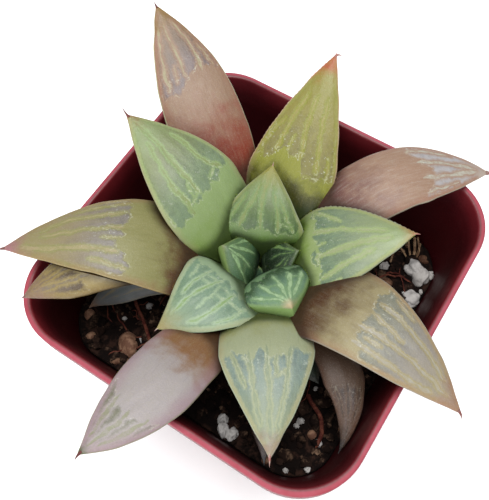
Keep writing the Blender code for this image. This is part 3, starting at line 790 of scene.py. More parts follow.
def leaf_marks(number, row, rings, turn, half, ways):
    """What the leaf's material reads at each point: the shares along and across, distances in
    millimetres from the nearest line and inside the window, how far up the window it lies, and how
    closely younger leaves crowd it."""
    u = np.broadcast_to(np.cos(turn), (len(half), len(turn)))
    v = np.broadcast_to(ways[:, None], u.shape)
    x, y = u * half[:, None], v * row["length"]
    top = smooth_step((np.sin(turn) + 0.06) / 0.12) + 0.0 * u

    def half_at(share):
        return np.interp(share, ways[2:], half[2:])

    vein = line_distance(x.ravel(), y.ravel(), row["lines"], half_at, row["length"], 500 + number)
    ends = np.array(row["ends"], float).reshape(-1, 2) / 100.0
    foot = np.interp(u, ends[:, 0], ends[:, 1])
    fingers = 0.9 * lattice_noise(x / 1.2 + 60.0, 0.0 * x, 700 + number)
    fingers = fingers + 0.35 * lattice_noise(x / 0.4 + 60.0, y / 2.0, 701 + number)
    foot = foot + fingers / row["length"]
    edge = (1.0 - np.abs(u)) * half[:, None]
    inside = np.minimum((v - foot) * row["length"], edge - row.get("border", 0.7))
    reach = (v - foot) / np.maximum(1.0 - foot, 0.05)
    return {"along": v, "across": x, "way": y, "upper": top, "vein": vein.reshape(u.shape),
            "window": inside, "reach": reach, "edge": edge, "crowd": crowding(rings)}


LEAF_COLOURS = {"base": "Base", "body": "Body", "tip": "Tip", "under": "Under", "window": "Window",
                "deep": "Deep", "line": "Line", "rim": "Rim", "blush": "Blush", "shade": "Shade"}
LEAF_VALUES = {"base_end": "Base end", "base_blend": "Base blend", "tip_start": "Tip start",
               "window_share": "Window share", "line_share": "Line share", "speckle": "Speckle",
               "outline": "Outline share", "blush_share": "Blush share", "blush_width": "Blush width",
               "shade_share": "Shade share", "blur": "Pane blur"}


def leaf_markings_group():
    """Colours of a windowed leaf. The flesh goes from the base colour to the body colour and to the tip
    colour, with fine streaks along it. The window is clear, greyer tissue in islands between the lines,
    deepest at their lower ends, which have a pale ragged outline; each line has a bright broken core. The
    margin is a little red, and where younger leaves crowd the flesh it is painted dark and brown as shade
    between the leaves."""
    inputs = {socket: (0.3, 0.4, 0.3, 1.0) for socket in LEAF_COLOURS.values()}
    inputs.update({socket: 0.5 for socket in LEAF_VALUES.values()})
    outputs = {"Colour": "Color", "Height": "Float", "Rough": "Float"}
    tree, value, result = new_group("leaf_markings", inputs, outputs)

    def times(first, second):
        return sums(tree, "MULTIPLY", first, second)

    marks = ("along", "upper", "vein", "window", "reach", "edge", "crowd", "across", "way")
    along, upper, vein, window, reach, edge, crowded, across, way = (read(tree, name) for name in marks)
    flow = add(tree, "ShaderNodeCombineXYZ", {0: times(across, 2.2), 1: times(way, 0.3)}).outputs[0]
    streak = noise(tree, 1.0, flow, 5.0, 0.65)
    coarse = noise(tree, 330.0)
    fine = noise(tree, 2100.0, detail=2.0)
    grit = noise(tree, 5200.0, detail=1.0)
    uneven, drift = (sums(tree, "SUBTRACT", share, 0.5) for share in (fine, coarse))

    wavy = scaled(tree, drift, 0.22, along)
    low, high = (sums(tree, kind, value["Base end"], value["Base blend"]) for kind in ("SUBTRACT", "ADD"))
    skin = blend(tree, rise(tree, wavy, low, high), value["Base"], value["Body"])
    paler = blend(tree, 0.5, skin, value["Line"])
    skin = blend(tree, times(rise(tree, streak, 0.45, 0.72), 0.28), skin, paler)
    skin = blend(tree, times(rise(tree, streak, 0.50, 0.28), 0.12), skin, value["Shade"])
    blush_end = sums(tree, "ADD", value["Blush width"], 1.2)
    blush = rise(tree, scaled(tree, coarse, 2.4, edge), blush_end, 1.2)
    skin = blend(tree, times(blush, value["Blush share"]), skin, value["Blush"])

    ragged = scaled(tree, uneven, 0.8, sums(tree, "MINIMUM", window, vein))
    pane = rise(tree, ragged, -0.08, value["Pane blur"])
    clear = blend(tree, rise(tree, reach, 0.02, 0.6), value["Deep"], value["Window"])
    clear = blend(tree, times(rise(tree, streak, 0.4, 0.75), 0.3), clear, value["Body"])
    clouds = rise(tree, noise(tree, 800.0, detail=4.0), 0.54, 0.36)
    cloudy = times(clouds, rise(tree, reach, 0.8, 0.05))
    clear = blend(tree, times(cloudy, 0.5), clear, (0.62, 0.62, 0.66, 1.0), "MULTIPLY")
    faded = scaled(tree, rise(tree, reach, 1.0, 0.3), 0.7, 0.3)
    skin = blend(tree, times(times(pane, value["Window share"]), faded), skin, clear)

    close = rise(tree, sums(tree, "ABSOLUTE", ragged), 0.16, 0.02)
    foot = times(rise(tree, reach, 0.45, 0.0), rise(tree, window, -0.5, 0.0))
    patches = rise(tree, noise(tree, 900.0), 0.46, 0.6)
    outlined = times(times(close, foot), times(patches, value["Outline share"]))
    skin = blend(tree, outlined, skin, blend(tree, 0.6, value["Line"], colour(226, 228, 206)))
    core = rise(tree, scaled(tree, uneven, 0.26, vein), -0.03, -0.2)
    broken = scaled(tree, rise(tree, noise(tree, 1200.0), 0.36, 0.6), 0.55, 0.45)
    skin = blend(tree, times(times(core, value["Line share"]), broken), skin, value["Line"])
    dots = times(rise(tree, noise(tree, 1300.0, roughness=0.65), 0.6, 0.7), foot)
    skin = blend(tree, times(dots, value["Speckle"]), skin, colour(226, 228, 214))

    skin = blend(tree, times(rise(tree, edge, 0.3, 0.05), 0.5), skin, value["Rim"])
    skin = blend(tree, rise(tree, wavy, value["Tip start"], 1.03), skin, value["Tip"])
    mixed = blend(tree, 0.5, value["Under"], value["Body"])
    skin = blend(tree, upper, blend(tree, rise(tree, along, 0.25, 0.9), value["Under"], mixed), skin)
    skin = blend(tree, times(rise(tree, grit, 0.5, 0.75), 0.08), skin, colour(240, 240, 230))
    # Painted shade: the flesh is painted dark and brown where younger leaves crowd it, as shade between
    # the leaves.
    painted_crowd_shade = rise(tree, scaled(tree, drift, 0.16, crowded), 0.09, 0.38)
    skin = blend(tree, times(painted_crowd_shade, value["Shade share"]), skin, value["Shade"])
    height = scaled(tree, pane, 0.35, times(fine, 0.5))
    height = scaled(tree, grit, 0.35, scaled(tree, core, -0.25, height))
    rough = scaled(tree, coarse, 0.2, scaled(tree, pane, -0.08, 0.38))
    wire(tree, result, {"Colour": skin, "Height": height, "Rough": rough})
    return tree


leaf_markings = leaf_markings_group()


def leaf_material(name, row):
    """Waxy, slightly see-through flesh with the leaf's own colours in the markings group."""
    made, tree, shader = new_material(name)
    sockets = {socket: colour(*row[key]) for key, socket in LEAF_COLOURS.items()}
    sockets.update({socket: row[key] for key, socket in LEAF_VALUES.items()})
    skin = add(tree, "ShaderNodeGroup", sockets, node_tree=leaf_markings).outputs
    wire(tree, shader, {
        "Base Color": skin["Colour"], "Roughness": skin["Rough"], "Specular IOR Level": 0.35,
        "Subsurface Weight": 0.18, "Subsurface Radius": (1.0, 0.9, 0.5), "Subsurface Scale": 1.6 * MM,
    })
    bump(tree, shader, skin["Height"], 0.12, 0.6)
    return made


def edge_ends(mesh):
    """The two points of each edge."""
    ends = np.zeros(len(mesh.edges) * 2, np.int32)
    mesh.edges.foreach_get("vertices", ends)
    return ends.reshape(-1, 2).T


def mark_values(mesh, name):
    """A mark's value at each point."""
    values = np.zeros(len(mesh.vertices), np.float32)
    mesh.attributes[name].data.foreach_get("value", values)
    return values


def mend_marks(mesh, names):
    """After a cut, points that aren't the leaf's own take the mean of their neighbours that are."""
    a, b = edge_ends(mesh)
    good = mark_values(mesh, "own") > 0.999
    near = np.zeros(len(good))
    np.add.at(near, a, good[b])
    np.add.at(near, b, good[a])
    mend = ~good & (near > 0)
    for name in names:
        held = mark_values(mesh, name)
        total = np.zeros(len(good))
        np.add.at(total, a, held[b] * good[b])
        np.add.at(total, b, held[a] * good[a])
        held[mend] = total[mend] / near[mend]
        held[~good & (near == 0)] = 0.0
        mesh.attributes[name].data.foreach_set("value", held)


def main_island(mesh):
    """Which points the largest connected body keeps of what a cut leaves, their places and its
    triangles. Each point takes the lowest label of its neighbours until nothing changes."""
    a, b = edge_ends(mesh)
    labels = np.arange(len(mesh.vertices))
    while True:
        lower = labels.copy()
        np.minimum.at(lower, a, labels[b])
        np.minimum.at(lower, b, labels[a])
        lower = lower[lower]
        if np.array_equal(lower, labels):
            break
        labels = lower
    keep = labels == np.bincount(labels).argmax()
    mesh.calc_loop_triangles()
    triangles = np.zeros(len(mesh.loop_triangles) * 3, np.int32)
    mesh.loop_triangles.foreach_get("vertices", triangles)
    triangles = triangles.reshape(-1, 3)
    triangles = triangles[keep[triangles[:, 0]]]
    points = np.zeros(len(keep) * 3)
    mesh.vertices.foreach_get("co", points)
    place = np.cumsum(keep) - 1
    return keep, points.reshape(-1, 3)[keep] / MM, place[triangles]


def boxes_meet(one, other):
    """Whether two pieces' boxes overlap."""
    low_a, high_a = np.min(one.bound_box, axis=0), np.max(one.bound_box, axis=0)
    low_b, high_b = np.min(other.bound_box, axis=0), np.max(other.bound_box, axis=0)
    return bool(np.all(low_a < high_b) and np.all(low_b < high_a))


def stem_ring(height):
    """A level ring of the stem, a little enlarged; the stem is rounded off like a dome at its top."""
    depth = min(max((STEM_TOP - height) / LEAF_STEP, 0.3), 19.0)
    lift = PRESS_GAP if height == STEM_TOP else 0.0
    return circle(0.85 * LEAF_SPREAD * math.sqrt(depth) + PRESS_GAP, height + lift)


stem_heights = [38.0, 43.0, *[STEM_TOP - drop for drop in (3.5, 2.5, 1.6, 0.9, 0.4, 0.0)]]
stem_press = new_piece("stem_press", *closed_body(np.stack([stem_ring(h) for h in stem_heights])))
pressing = [stem_press]  # the stem and the leaves so far, a little enlarged: they cut later leaves
all_leaves = []


def grow_leaf(number, row):
    """Makes a leaf: fine rings with their marks, cut back from the stem and from every younger leaf,
    as leaves press on each other, then its own material and its place in the part."""
    name = f"leaf_{number + 1:02d}"
    rows = max(30, int(row["length"] / FINE_RING))
    upper_sides = max(24, int(row["width"] / FINE_ACROSS))
    rings, turn, half, ways = leaf_rings(number, row, rows, upper_sides, max(16, upper_sides // 3))
    points, faces = closed_body(rings)
    marks = {
        key: np.concatenate([grid.ravel(), [grid[0].mean()], [grid[-1].mean()]])
        for key, grid in leaf_marks(number, row, rings, turn, half, ways).items()
    }
    leaf = new_piece(name + "_rough", points, faces, {**marks, "own": np.ones(len(points))})
    for press in pressing:
        if boxes_meet(leaf, press):
            cut_away(leaf, press)
    mend_marks(leaf.data, marks)
    keep, points, triangles = main_island(leaf.data)
    held = {key: mark_values(leaf.data, key)[keep] for key in marks}
    bpy.data.objects.remove(leaf)
    finished = new_piece(name + "_blade", points, triangles.tolist(), held)
    finished.data.materials.append(leaf_material(name, row))
    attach(finished, "root")
    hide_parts(name)
    grown = leaf_rings(number, row, max(16, rows // 3), 30, 18, PRESS_GAP, detail=False)[0]
    pressing.append(new_piece("press", *closed_body(grown)))
    fill_crowd(number, row)
    all_leaves.append(row)


def grow_family(family, rows):
    """Grows a family's leaves after those that stand already; a row's own values come first."""
    for row in rows:
        grow_leaf(len(all_leaves), {**family, **row})


# In the tables a leaf's lines and ends are in hundredths: each line is its half width, then stops
# (across in shares of the half width, along in shares of the length), and ends are such stops
# where the window begins. Rows run from the youngest leaf to the oldest.
YOUNG = dict(base=(40, 66, 34), body=(92, 128, 92), tip=(196, 176, 128), under=(130, 160, 66),
             deep=(48, 80, 60), window=(84, 120, 96), line=(158, 190, 150), rim=(150, 180, 120),
             blush=(170, 190, 120), shade=(20, 34, 16),
             base_end=0.3, base_blend=0.2, tip_start=0.9, window_share=0.9, line_share=0.85,
             speckle=0.25, outline=0.2, border=0.25, blush_share=0.2, blush_width=1, shade_share=0.8,
             blur=0.4)
YOUNG_LEAVES = [
    dict(azimuth=118, height=51, length=6, climb=85, fall=75, width=4, thick=2.5,
         lines=[(12, 0, 50, 0, 95), (10, 50, 50, 20, 85)],
         ends=[-100, 40, 100, 40]),
    # Painted shade: this leaf lies deep in the rosette's hollow, and its colours are painted much darker
    # as shade.
    dict(azimuth=41, height=54.3, length=12, climb=74, fall=38, width=16.4, thick=4.5, blunt=0.6,
         widest=0.3, point=1.16,
         base=(14, 24, 10), body=(44, 70, 38), tip=(110, 124, 84), deep=(6, 29, 2), window=(5, 29, 2),
         line=(106, 135, 75), rim=(28, 61, 14), shade=(8, 14, 6),
         line_share=1, speckle=0.1,
         lines=[(45, 55, 50, 50, 70, 30, 95), (24, 85, 45, 75, 65), (30, 10, 50, 15, 70, 10, 95),
         (24, -30, 50, -25, 70, -10, 95), (24, -65, 50, -55, 70, -30, 90)],
         ends=[-100, 30, 100, 30]),
    dict(azimuth=197, height=54.2, length=12, climb=86, fall=41, width=15.7, thick=7.5, blunt=0.4,
         bend=-3.5, widest=0.34, point=1.36,
         base=(24, 40, 20), body=(84, 112, 70), tip=(150, 156, 116), under=(178, 208, 114),
         deep=(24, 60, 22), window=(84, 120, 84), line=(144, 178, 124), rim=(150, 176, 96),
         line_share=1,
         lines=[(34, -70, 45, -62, 70, -42, 90), (38, -28, 48, -26, 70, -16, 93),
         (36, 16, 48, 16, 68, 6, 90), (34, 58, 42, 50, 62, 26, 86), (18, -70, 58, -28, 64),
         (18, 16, 60, 56, 54)],
         ends=[-100, 30, 100, 30]),
    dict(azimuth=332.5, height=54.1, length=17.4, climb=69.5, fall=30, width=15.4, thick=9.5,
         blunt=0.35, bend=-7, widest=0.51, point=1.65,
         body=(118, 152, 108), tip=(205, 185, 146), under=(178, 214, 112), deep=(36, 66, 34),
         window=(116, 150, 126), line=(168, 196, 150), rim=(150, 184, 112),
         line_share=1,
         lines=[(31.7, -80, 66, -72, 78, -50, 93), (35.2, -42, 60, -40, 76, -26, 94),
         (37, 2, 58, 2, 78, 2, 95), (35.2, 42, 60, 40, 74, 26, 93), (29.9, 78, 62, 70, 75, 50, 90),
         (17.6, -42, 68, 0, 72), (17.6, 42, 66, 75, 70)],
         ends=[-100, 50, 100, 50]),
]
grow_family(YOUNG, YOUNG_LEAVES)

# ---- Grown leaves ------------------------------------------------------------------------------
# The six plump leaves round the middle: sage green with greyer windows over their outer half and
# yellow-green lines that run together at the point; the upper right one has fine teeth on a margin.

GROWN = dict(base=(96, 132, 48), body=(156, 184, 128), tip=(176, 180, 110), under=(132, 158, 58),
             deep=(108, 136, 112), window=(140, 164, 140), line=(182, 202, 112), rim=(196, 190, 160),
             blush=(186, 170, 126), shade=(40, 56, 16),
             base_end=0.3, base_blend=0.15, tip_start=0.8, window_share=0.9, line_share=0.8,
             speckle=0.35, outline=0.6, blush_share=0.35, blush_width=1.6, shade_share=0.85, blur=0.5)
GROWN_LEAVES = [
    dict(azimuth=116, height=55.3, length=21.7, climb=71.5, fall=22.5, width=17.2, thick=6, bend=-11.5,
         widest=0.38, point=1.39,
         body=(118, 146, 84), tip=(146, 139, 47), deep=(73, 100, 55), window=(122, 136, 85),
         line=(138, 148, 88), rim=(193, 202, 186),
         base_end=0.38, base_blend=0.08, tip_start=0.72, speckle=0.15, outline=0.4, border=0.5,
         shade_share=0.95,
         lines=[(25, 80, 43, 76, 58, 68, 70), (38, 52, 42, 45, 55, 42, 66, 34, 80),
         (40, 2, 44, 3, 65, 5, 80, 3, 95), (30, -38, 42, -41, 58, -42, 70, -34, 80),
         (25, -74, 43, -66, 55, -56, 70), (16, 85, 46, 50, 44), (12, -40, 50, -70, 47)],
         ends=[-100, 46, -60, 42, 0, 44, 50, 42, 100, 42]),
    dict(azimuth=259, height=53.4, length=26.7, climb=63.5, fall=-2.5, width=19, thick=7, bend=-19.5,
         widest=0.35, point=1.67,
         body=(166, 189, 153), tip=(163, 149, 94), deep=(129, 158, 132), window=(101, 131, 103),
         line=(132, 164, 92), rim=(179, 202, 181),
         base_end=0.25, tip_start=0.75, border=1,
         lines=[(29.7, -8, 46, -20, 60, -27, 72, -33, 86), (27.2, 32, 46, 38, 60, 47, 70, 50, 80),
         (22.1, -40, 46, -50, 60, -52, 72), (20.4, 70, 46, 78, 58, 80, 68), (11.9, -38, 50, -12, 48),
         (11.9, -42, 55, -17, 54), (10.2, 34, 53, 72, 50), (10.2, 0, 50, 10, 60, 12, 70),
         (10.2, 10, 56, 36, 54), (10.2, -70, 48, -66, 60), (10.2, 30, 50, 8, 48)],
         ends=[-100, 44, 0, 42, 100, 46]),
    dict(azimuth=34, height=53.7, length=32.3, climb=56, fall=16, width=19, thick=7, bend=-1.5,
         widest=0.41, point=1.63, teeth=0.22,
         base=(120, 150, 40), body=(155, 174, 112), tip=(160, 110, 57), deep=(114, 137, 114),
         window=(140, 152, 120), line=(165, 172, 130), rim=(145, 144, 157),
         base_end=0.34, base_blend=0.06, tip_start=0.88,
         lines=[(34, 36, 42, 32, 55, 27, 68, 25, 84), (42, -22, 44, -16, 58, -13, 70, -6, 86),
         (32, -66, 46, -56, 60, -47, 70, -42, 76), (22, -90, 46, -80, 56),
         (24, 90, 41, 72, 50, 52, 59), (16, 85, 42, 40, 43), (14, 5, 44, -20, 46), (12, 6, 50, 2, 44),
         (14, -55, 45, -25, 45)],
         ends=[-100, 45, -50, 44, 0, 43, 50, 41, 100, 42]),
    dict(azimuth=167, height=54.3, length=39.6, climb=57, fall=16, width=18.1, thick=7, bend=4.5,
         widest=0.46, point=1.65,
         base=(128, 158, 62), body=(150, 173, 113), tip=(145, 58, 21), deep=(124, 144, 115),
         window=(125, 128, 87), line=(137, 148, 92), rim=(197, 177, 156),
         base_end=0.28, tip_start=0.88,
         lines=[(36, 6, 49, 10, 60, 10, 70, 3, 82, 0, 94),
         (34, 44, 43, 42, 50, 50, 60, 45, 70, 34, 82),
         (34, -68, 52, -55, 56, -50, 62, -56, 70, -60, 78), (20, 90, 43, 95, 52), (16, 10, 50, 40, 47),
         (14, -30, 51, -60, 54), (14, 25, 49, 20, 56)],
         ends=[-100, 53, -60, 52, -30, 49, 5, 48, 30, 46, 45, 42, 80, 40.5, 100, 43]),
    dict(azimuth=307.5, height=53.4, length=39.1, climb=46, fall=-1, width=17, thick=7, bend=-6.5,
         widest=0.53, point=1.34,
         base=(150, 150, 86), body=(166, 173, 136), tip=(144, 90, 97), under=(150, 168, 90),
         deep=(127, 148, 143), window=(127, 144, 125), line=(135, 150, 122), rim=(203, 222, 202),
         base_end=0.4, base_blend=0.1, tip_start=0.86, speckle=0.3,
         lines=[(34, 0, 52, 0, 68, -2, 82, 0, 92), (32, 50, 52, 47, 62, 48, 72, 43, 82, 45, 89),
         (34, -38, 54, -40, 65, -42, 76, -48, 86), (30, -72, 54, -70, 62, -62, 70),
         (18, 20, 56, 22, 61, 16, 66), (16, -52, 57, -38, 60), (14, 22, 66, 46, 63)],
         ends=[-100, 53, -85, 54, -50, 54.5, -35, 57, -15, 54.5, 10, 57, 35, 55, 65, 54, 100, 57]),
    dict(azimuth=100.5, height=52.4, length=44.1, climb=47.5, fall=30, width=17.9, thick=7, bend=-5,
         widest=0.42, point=1.49, teeth=0.12,
         base=(70, 70, 1), body=(147, 149, 54), tip=(189, 73, 51), under=(140, 146, 50),
         deep=(140, 132, 84), window=(152, 141, 72), line=(168, 157, 92), rim=(252, 200, 189),
         base_end=0.42, base_blend=0.07, tip_start=0.84, speckle=0.6,
         lines=[(34, -10, 50, -7, 60, 0, 70, 0, 80), (34, 52, 53, 48, 60, 50, 70, 42, 80),
         (26, 90, 53, 80, 61, 70, 67), (22, 26, 54, 20, 61), (34, -56, 48, -48, 60, -45, 70, -50, 80),
         (20, -80, 46, -76, 56), (18, -30, 45.5, -75, 46), (16, 75, 47, 85, 52)],
         ends=[-100, 47, -70, 46, -30, 45.5, 0, 53, 40, 53, 70, 48, 100, 50]),
]
grow_family(GROWN, GROWN_LEAVES)

# ---- Outer leaves ------------------------------------------------------------------------------
# Five long leaves that reach over the rim: olive to pink-brown, red-brown where the inner leaves
# shade them, with grey-purple windows only towards their ends and cream lines.

OUTER = dict(base=(140, 96, 60), body=(176, 150, 120), tip=(170, 120, 96), under=(150, 110, 84),
             deep=(128, 112, 108), window=(150, 138, 128), line=(200, 192, 150), rim=(206, 170, 150),
             blush=(172, 112, 92), shade=(56, 34, 18),
             base_end=0.42, base_blend=0.12, tip_start=0.86, window_share=0.8, line_share=0.75,
             speckle=0.35, outline=0.5, blush_share=0.3, blush_width=2, shade_share=0.85, blur=0.9)
OUTER_LEAVES = [
    dict(azimuth=209.5, height=51.3, length=51.1, climb=52, fall=-7, width=18.5, thick=6.5, bend=11,
         widest=0.4, point=1.75,
         base=(95, 61, 27), body=(146, 143, 88), tip=(166, 113, 119), under=(136, 104, 56),
         deep=(134, 125, 127), window=(159, 140, 109), line=(175, 160, 119), rim=(182, 163, 115),
         base_end=0.38, base_blend=0.07, blur=0.6,
         lines=[(40, 42, 56, 38, 62, 38, 72, 44, 84, 42, 92), (26, -18, 54, -15, 62, -10, 72, -16, 84),
         (26, -58, 54, -52, 62, -56, 74, -50, 84), (20, -82, 53, -78, 62, -78, 72),
         (24, 76, 52, 72, 57, 64, 66), (14, 10, 54, 8, 62)],
         ends=[-100, 52, -40, 54, 0, 55, 30, 57, 50, 53, 80, 52, 100, 55]),
    dict(azimuth=354, height=51.5, length=49.8, climb=55.5, fall=-13, width=17.7, thick=6.5,
         bend=-11.5, widest=0.28, point=2.31,
         base=(82, 47, 16), body=(166, 154, 112), tip=(161, 115, 100), under=(150, 116, 80),
         deep=(120, 126, 116), window=(155, 149, 151), line=(175, 171, 160), rim=(147, 158, 158),
         base_end=0.48, base_blend=0.12, blur=0.5,
         lines=[(34, -24, 56, -20, 62, -12, 70, -10, 80, -3, 92), (24, 16, 57, 14, 63, 10, 70),
         (32, 46, 57, 50, 63, 50, 72, 50, 82, 42, 88), (30, -62, 57, -62, 68, -64, 80, -56, 88),
         (18, -42, 60, -36, 66), (18, 80, 60, 78, 68)],
         ends=[-100, 62, -60, 59, -30, 57, 0, 57, 30, 57, 70, 55, 100, 56]),
    dict(azimuth=142.5, height=51, length=55.9, climb=45, fall=21.5, width=15.6, thick=6.5, bend=9,
         widest=0.54, point=2.07,
         base=(142, 53, 29), body=(160, 129, 105), tip=(139, 108, 36), under=(150, 100, 78),
         deep=(129, 115, 115), window=(122, 105, 85), line=(180, 176, 138), rim=(216, 239, 189),
         base_end=0.52, base_blend=0.13, window_share=0.9, outline=0.4, blur=0.8,
         lines=[(36, 12, 71, 15, 80, 20, 92), (30, 68, 68, 68, 80, 70, 92),
         (32, -40, 71, -52, 80, -50, 92), (22, -78, 72, -76, 82), (16, 40, 70, 35, 76)],
         ends=[-100, 72, -50, 73, -10, 73, 20, 70, 40, 67, 70, 66, 100, 64]),
    dict(azimuth=272, height=51.1, length=49.2, climb=43, fall=13, width=13.7, thick=6, bend=-17,
         widest=0.62, point=2.02,
         base=(141, 99, 61), body=(176, 167, 164), tip=(83, 95, 49), under=(113, 75, 63),
         deep=(115, 117, 85), window=(109, 111, 78), line=(148, 150, 111), rim=(129, 144, 79),
         blush=(164, 128, 140),
         base_end=0.54, base_blend=0.07, tip_start=0.92, blush_share=0.55, blush_width=3.2,
         lines=[(42, -50, 77, -50, 85, -45, 94), (42, 8, 79, 10, 86, 8, 96),
         (40, 62, 77, 60, 85, 50, 94)],
         ends=[-100, 72, -75, 76, -45, 80, -20, 78, 0, 84, 35, 80, 60, 80, 90, 76, 100, 77]),
    dict(azimuth=63, height=50.6, length=52, climb=51.5, fall=-14, width=13.9, thick=6, bend=-30.5,
         widest=0.54, point=2.38,
         base=(117, 76, 70), body=(169, 136, 113), tip=(188, 176, 164), under=(140, 98, 80),
         deep=(189, 187, 188), window=(191, 197, 202), line=(212, 226, 212), rim=(176, 194, 173),
         base_end=0.5, base_blend=0.12, tip_start=0.88, window_share=0.9, line_share=0.5, outline=0.4,
         blur=0.8,
         lines=[(40, 28, 70, 25, 82, 20, 94), (40, -30, 70, -30, 82, -20, 94), (30, 75, 68, 70, 85),
         (30, -75, 70, -70, 85)],
         ends=[-100, 70, -50, 72, 0, 74, 50, 70, 100, 68]),
]
grow_family(OUTER, OUTER_LEAVES)

# ---- Old leaves --------------------------------------------------------------------------------
# Lowest leaves, small and dull, mostly hidden: olive-brown at the left, dark purple-brown at the
# lower right, grey-blue ones in the shade inside the pot.

OLD = dict(base=(58, 40, 34), body=(88, 74, 70), tip=(70, 54, 50), under=(60, 46, 42), deep=(70, 66, 78),
           window=(92, 88, 96), line=(110, 100, 96), rim=(110, 92, 86), blush=(104, 70, 60),
           shade=(26, 16, 12),
           base_end=0.4, base_blend=0.15, tip_start=0.85, window_share=0.7, line_share=0.5, speckle=0.2,
           outline=0.3, blush_share=0.3, blush_width=1.5, shade_share=0.8, blur=0.8)
OLD_LEAVES = [
    dict(azimuth=217, height=50.4, length=45.9, climb=53.5, fall=-1, width=10.1, thick=5, bend=28,
         widest=0.75, point=1.64,
         base=(112, 84, 34), body=(156, 136, 76), tip=(140, 107, 100), under=(112, 84, 40),
         deep=(69, 47, 20), window=(108, 93, 85), line=(120, 107, 89), rim=(102, 85, 66),
         base_end=0.55, window_share=0.9, line_share=0.9,
         lines=[(40, 35, 70, 36, 82, 20, 95), (35, -20, 72, -22, 85, -10, 95), (30, -70, 74, -60, 88)],
         ends=[-100, 78, -40, 76, 10, 76, 50, 74, 100, 72]),
    dict(azimuth=345.5, height=51.2, length=37, climb=29.5, fall=-16, width=7.9, thick=3.5, bend=-73,
         widest=0.65, point=1.05,
         base=(120, 84, 64), body=(99, 74, 56), tip=(6, 4, 6), under=(90, 66, 58), deep=(20, 8, 16),
         window=(110, 96, 104), line=(13, 9, 19), rim=(7, 8, 10),
         lines=[(30, 0, 66, 0, 90), (25, -55, 66, -50, 85), (25, 55, 68, 50, 85)],
         ends=[-100, 66, 100, 66]),
    dict(azimuth=210, height=50.5, length=30.2, climb=11, fall=-11, width=7.1, thick=3.5, bend=40,
         widest=0.67, point=1.85,
         base=(150, 156, 150), body=(176, 184, 186), tip=(176, 133, 103), under=(130, 136, 136),
         deep=(150, 158, 168), window=(146, 162, 155), line=(255, 222, 153), rim=(239, 230, 187),
         lines=[(30, 0, 50, 0, 90), (25, 50, 50, 45, 85)],
         ends=[-100, 50, 100, 50]),
    dict(azimuth=331, height=50.2, length=18, climb=6, fall=0, width=10, thick=3.5,
         base=(20, 30, 16), body=(34, 50, 30), tip=(2, 14, 0), under=(30, 40, 26), deep=(24, 36, 24),
         window=(30, 44, 30), line=(60, 80, 56), rim=(9, 51, 1),
         lines=[(25, 0, 50, 0, 90)],
         ends=[-100, 50, 100, 50]),
    dict(azimuth=304, height=50, length=30, climb=5, fall=-3, width=8, thick=3,
         tip=(5, 8, 19), rim=(17, 13, 10),
         lines=[(25, 0, 50, 0, 90)],
         ends=[-100, 50, 100, 50]),
]
grow_family(OLD, OLD_LEAVES)
for press in pressing:
    bpy.data.objects.remove(press)

# ---- Tip bristles ------------------------------------------------------------------------------
# Thin dry bristles that the leaves end in: pink-brown while fresh, pale and papery when old. Each
# grows out of its leaf's tip, and a few are bent aside or upwards.

TIP_BRISTLES = [  # leaf, radius, reach (on, sideways, up) from the tip in millimetres, taper, tone
    (5, 0.16, (0.5, 0.0, 0.3), 0.8, 0.15),
    (6, 0.18, (0.5, 0.2, -0.1), 0.8, 0.0),
    (7, 0.20, (0.6, -0.2, -0.2), 0.8, 0.05),
    (8, 0.34, (1.2, 0.0, 1.6), 1.0, 0.7),
    (9, 0.30, (1.2, 0.0, 0.0), 0.9, 0.25),
    (10, 0.34, (-0.3, -1.3, 0.2), 0.8, 0.2),
    (11, 0.34, (0.4, 0.0, 0.1), 0.8, 0.8),
    (12, 0.34, (0.5, -0.6, 0.0), 0.9, 0.6),
    (13, 0.28, (0.6, 0.0, 0.1), 0.9, 0.9),
    (14, 0.34, (0.8, 0.5, 0.0), 0.9, 0.9),
    (15, 0.5, (0.0, -0.2, 0.0), 0.5, 0.4),
    (16, 0.22, (0.3, 0.0, 0.0), 0.9, 0.9),
]


def tip_bristle(number, radius, reach, taper):
    """A bristle on the curve (1-t)^2 A + 2t(1-t) B + t^2 C from 1 mm inside the leaf's tip, A, past
    the tip, B, to its end, C; its radius falls with the power taper of what is left of its length."""
    row = all_leaves[number - 1]
    ways = np.array([1.0 - 1.0 / row["length"], 1.0])
    centre, along, side, up, _, _ = blade_lines(number - 1, row, ways)
    inner, tip = centre[-2:]
    end = tip + reach[0] * along[-1] + reach[1] * side[-1] + reach[2] * up[-1]
    t = np.linspace(0.0, 1.0, 16)
    line = np.outer((1 - t) ** 2, inner) + np.outer(2 * t * (1 - t), tip) + np.outer(t**2, end)
    return closed_body(tube(line, radius * (1.0 - t) ** taper, 10))


bodies = [tip_bristle(*row[:4]) for row in TIP_BRISTLES]
tones = np.concatenate([np.full(len(body[0]), row[4]) for body, row in zip(bodies, TIP_BRISTLES)])
spines = new_piece("tip_spines", *joined(bodies), {"tone": tones}, sharp=70.0)
dry_tip = mix_material("dry_tip", colour(214, 150, 138), colour(234, 206, 192), scale=800.0, level=0.5,
                       rough=0.6, deepest=(118, 66, 72))
spines.data.materials.append(dry_tip)
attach(spines, "root")

# ---- Floor, light and camera -------------------------------------------------------------------
# A white paper floor under the pot and soft daylight from above. The camera looks steeply down, as the
# photographer's did: its place was worked out from the rim's outline.

FLOOR_REACH = 4000.0
FLOOR_POINTS = 13
WINDOW_SIZE, WINDOW_POWER = 600.0, 11.3
FILL_SIZE, FILL_POWER = 300.0, 1.6
CAMERA_TARGET = Vector((-2.5, -0.67, POT_HEIGHT))
CAMERA_DISTANCE = 132.61
CAMERA_TURNS = (36.28, 64.13, -3.82)  # azimuth, elevation and roll in degrees
CAMERA_LENS = 50.4

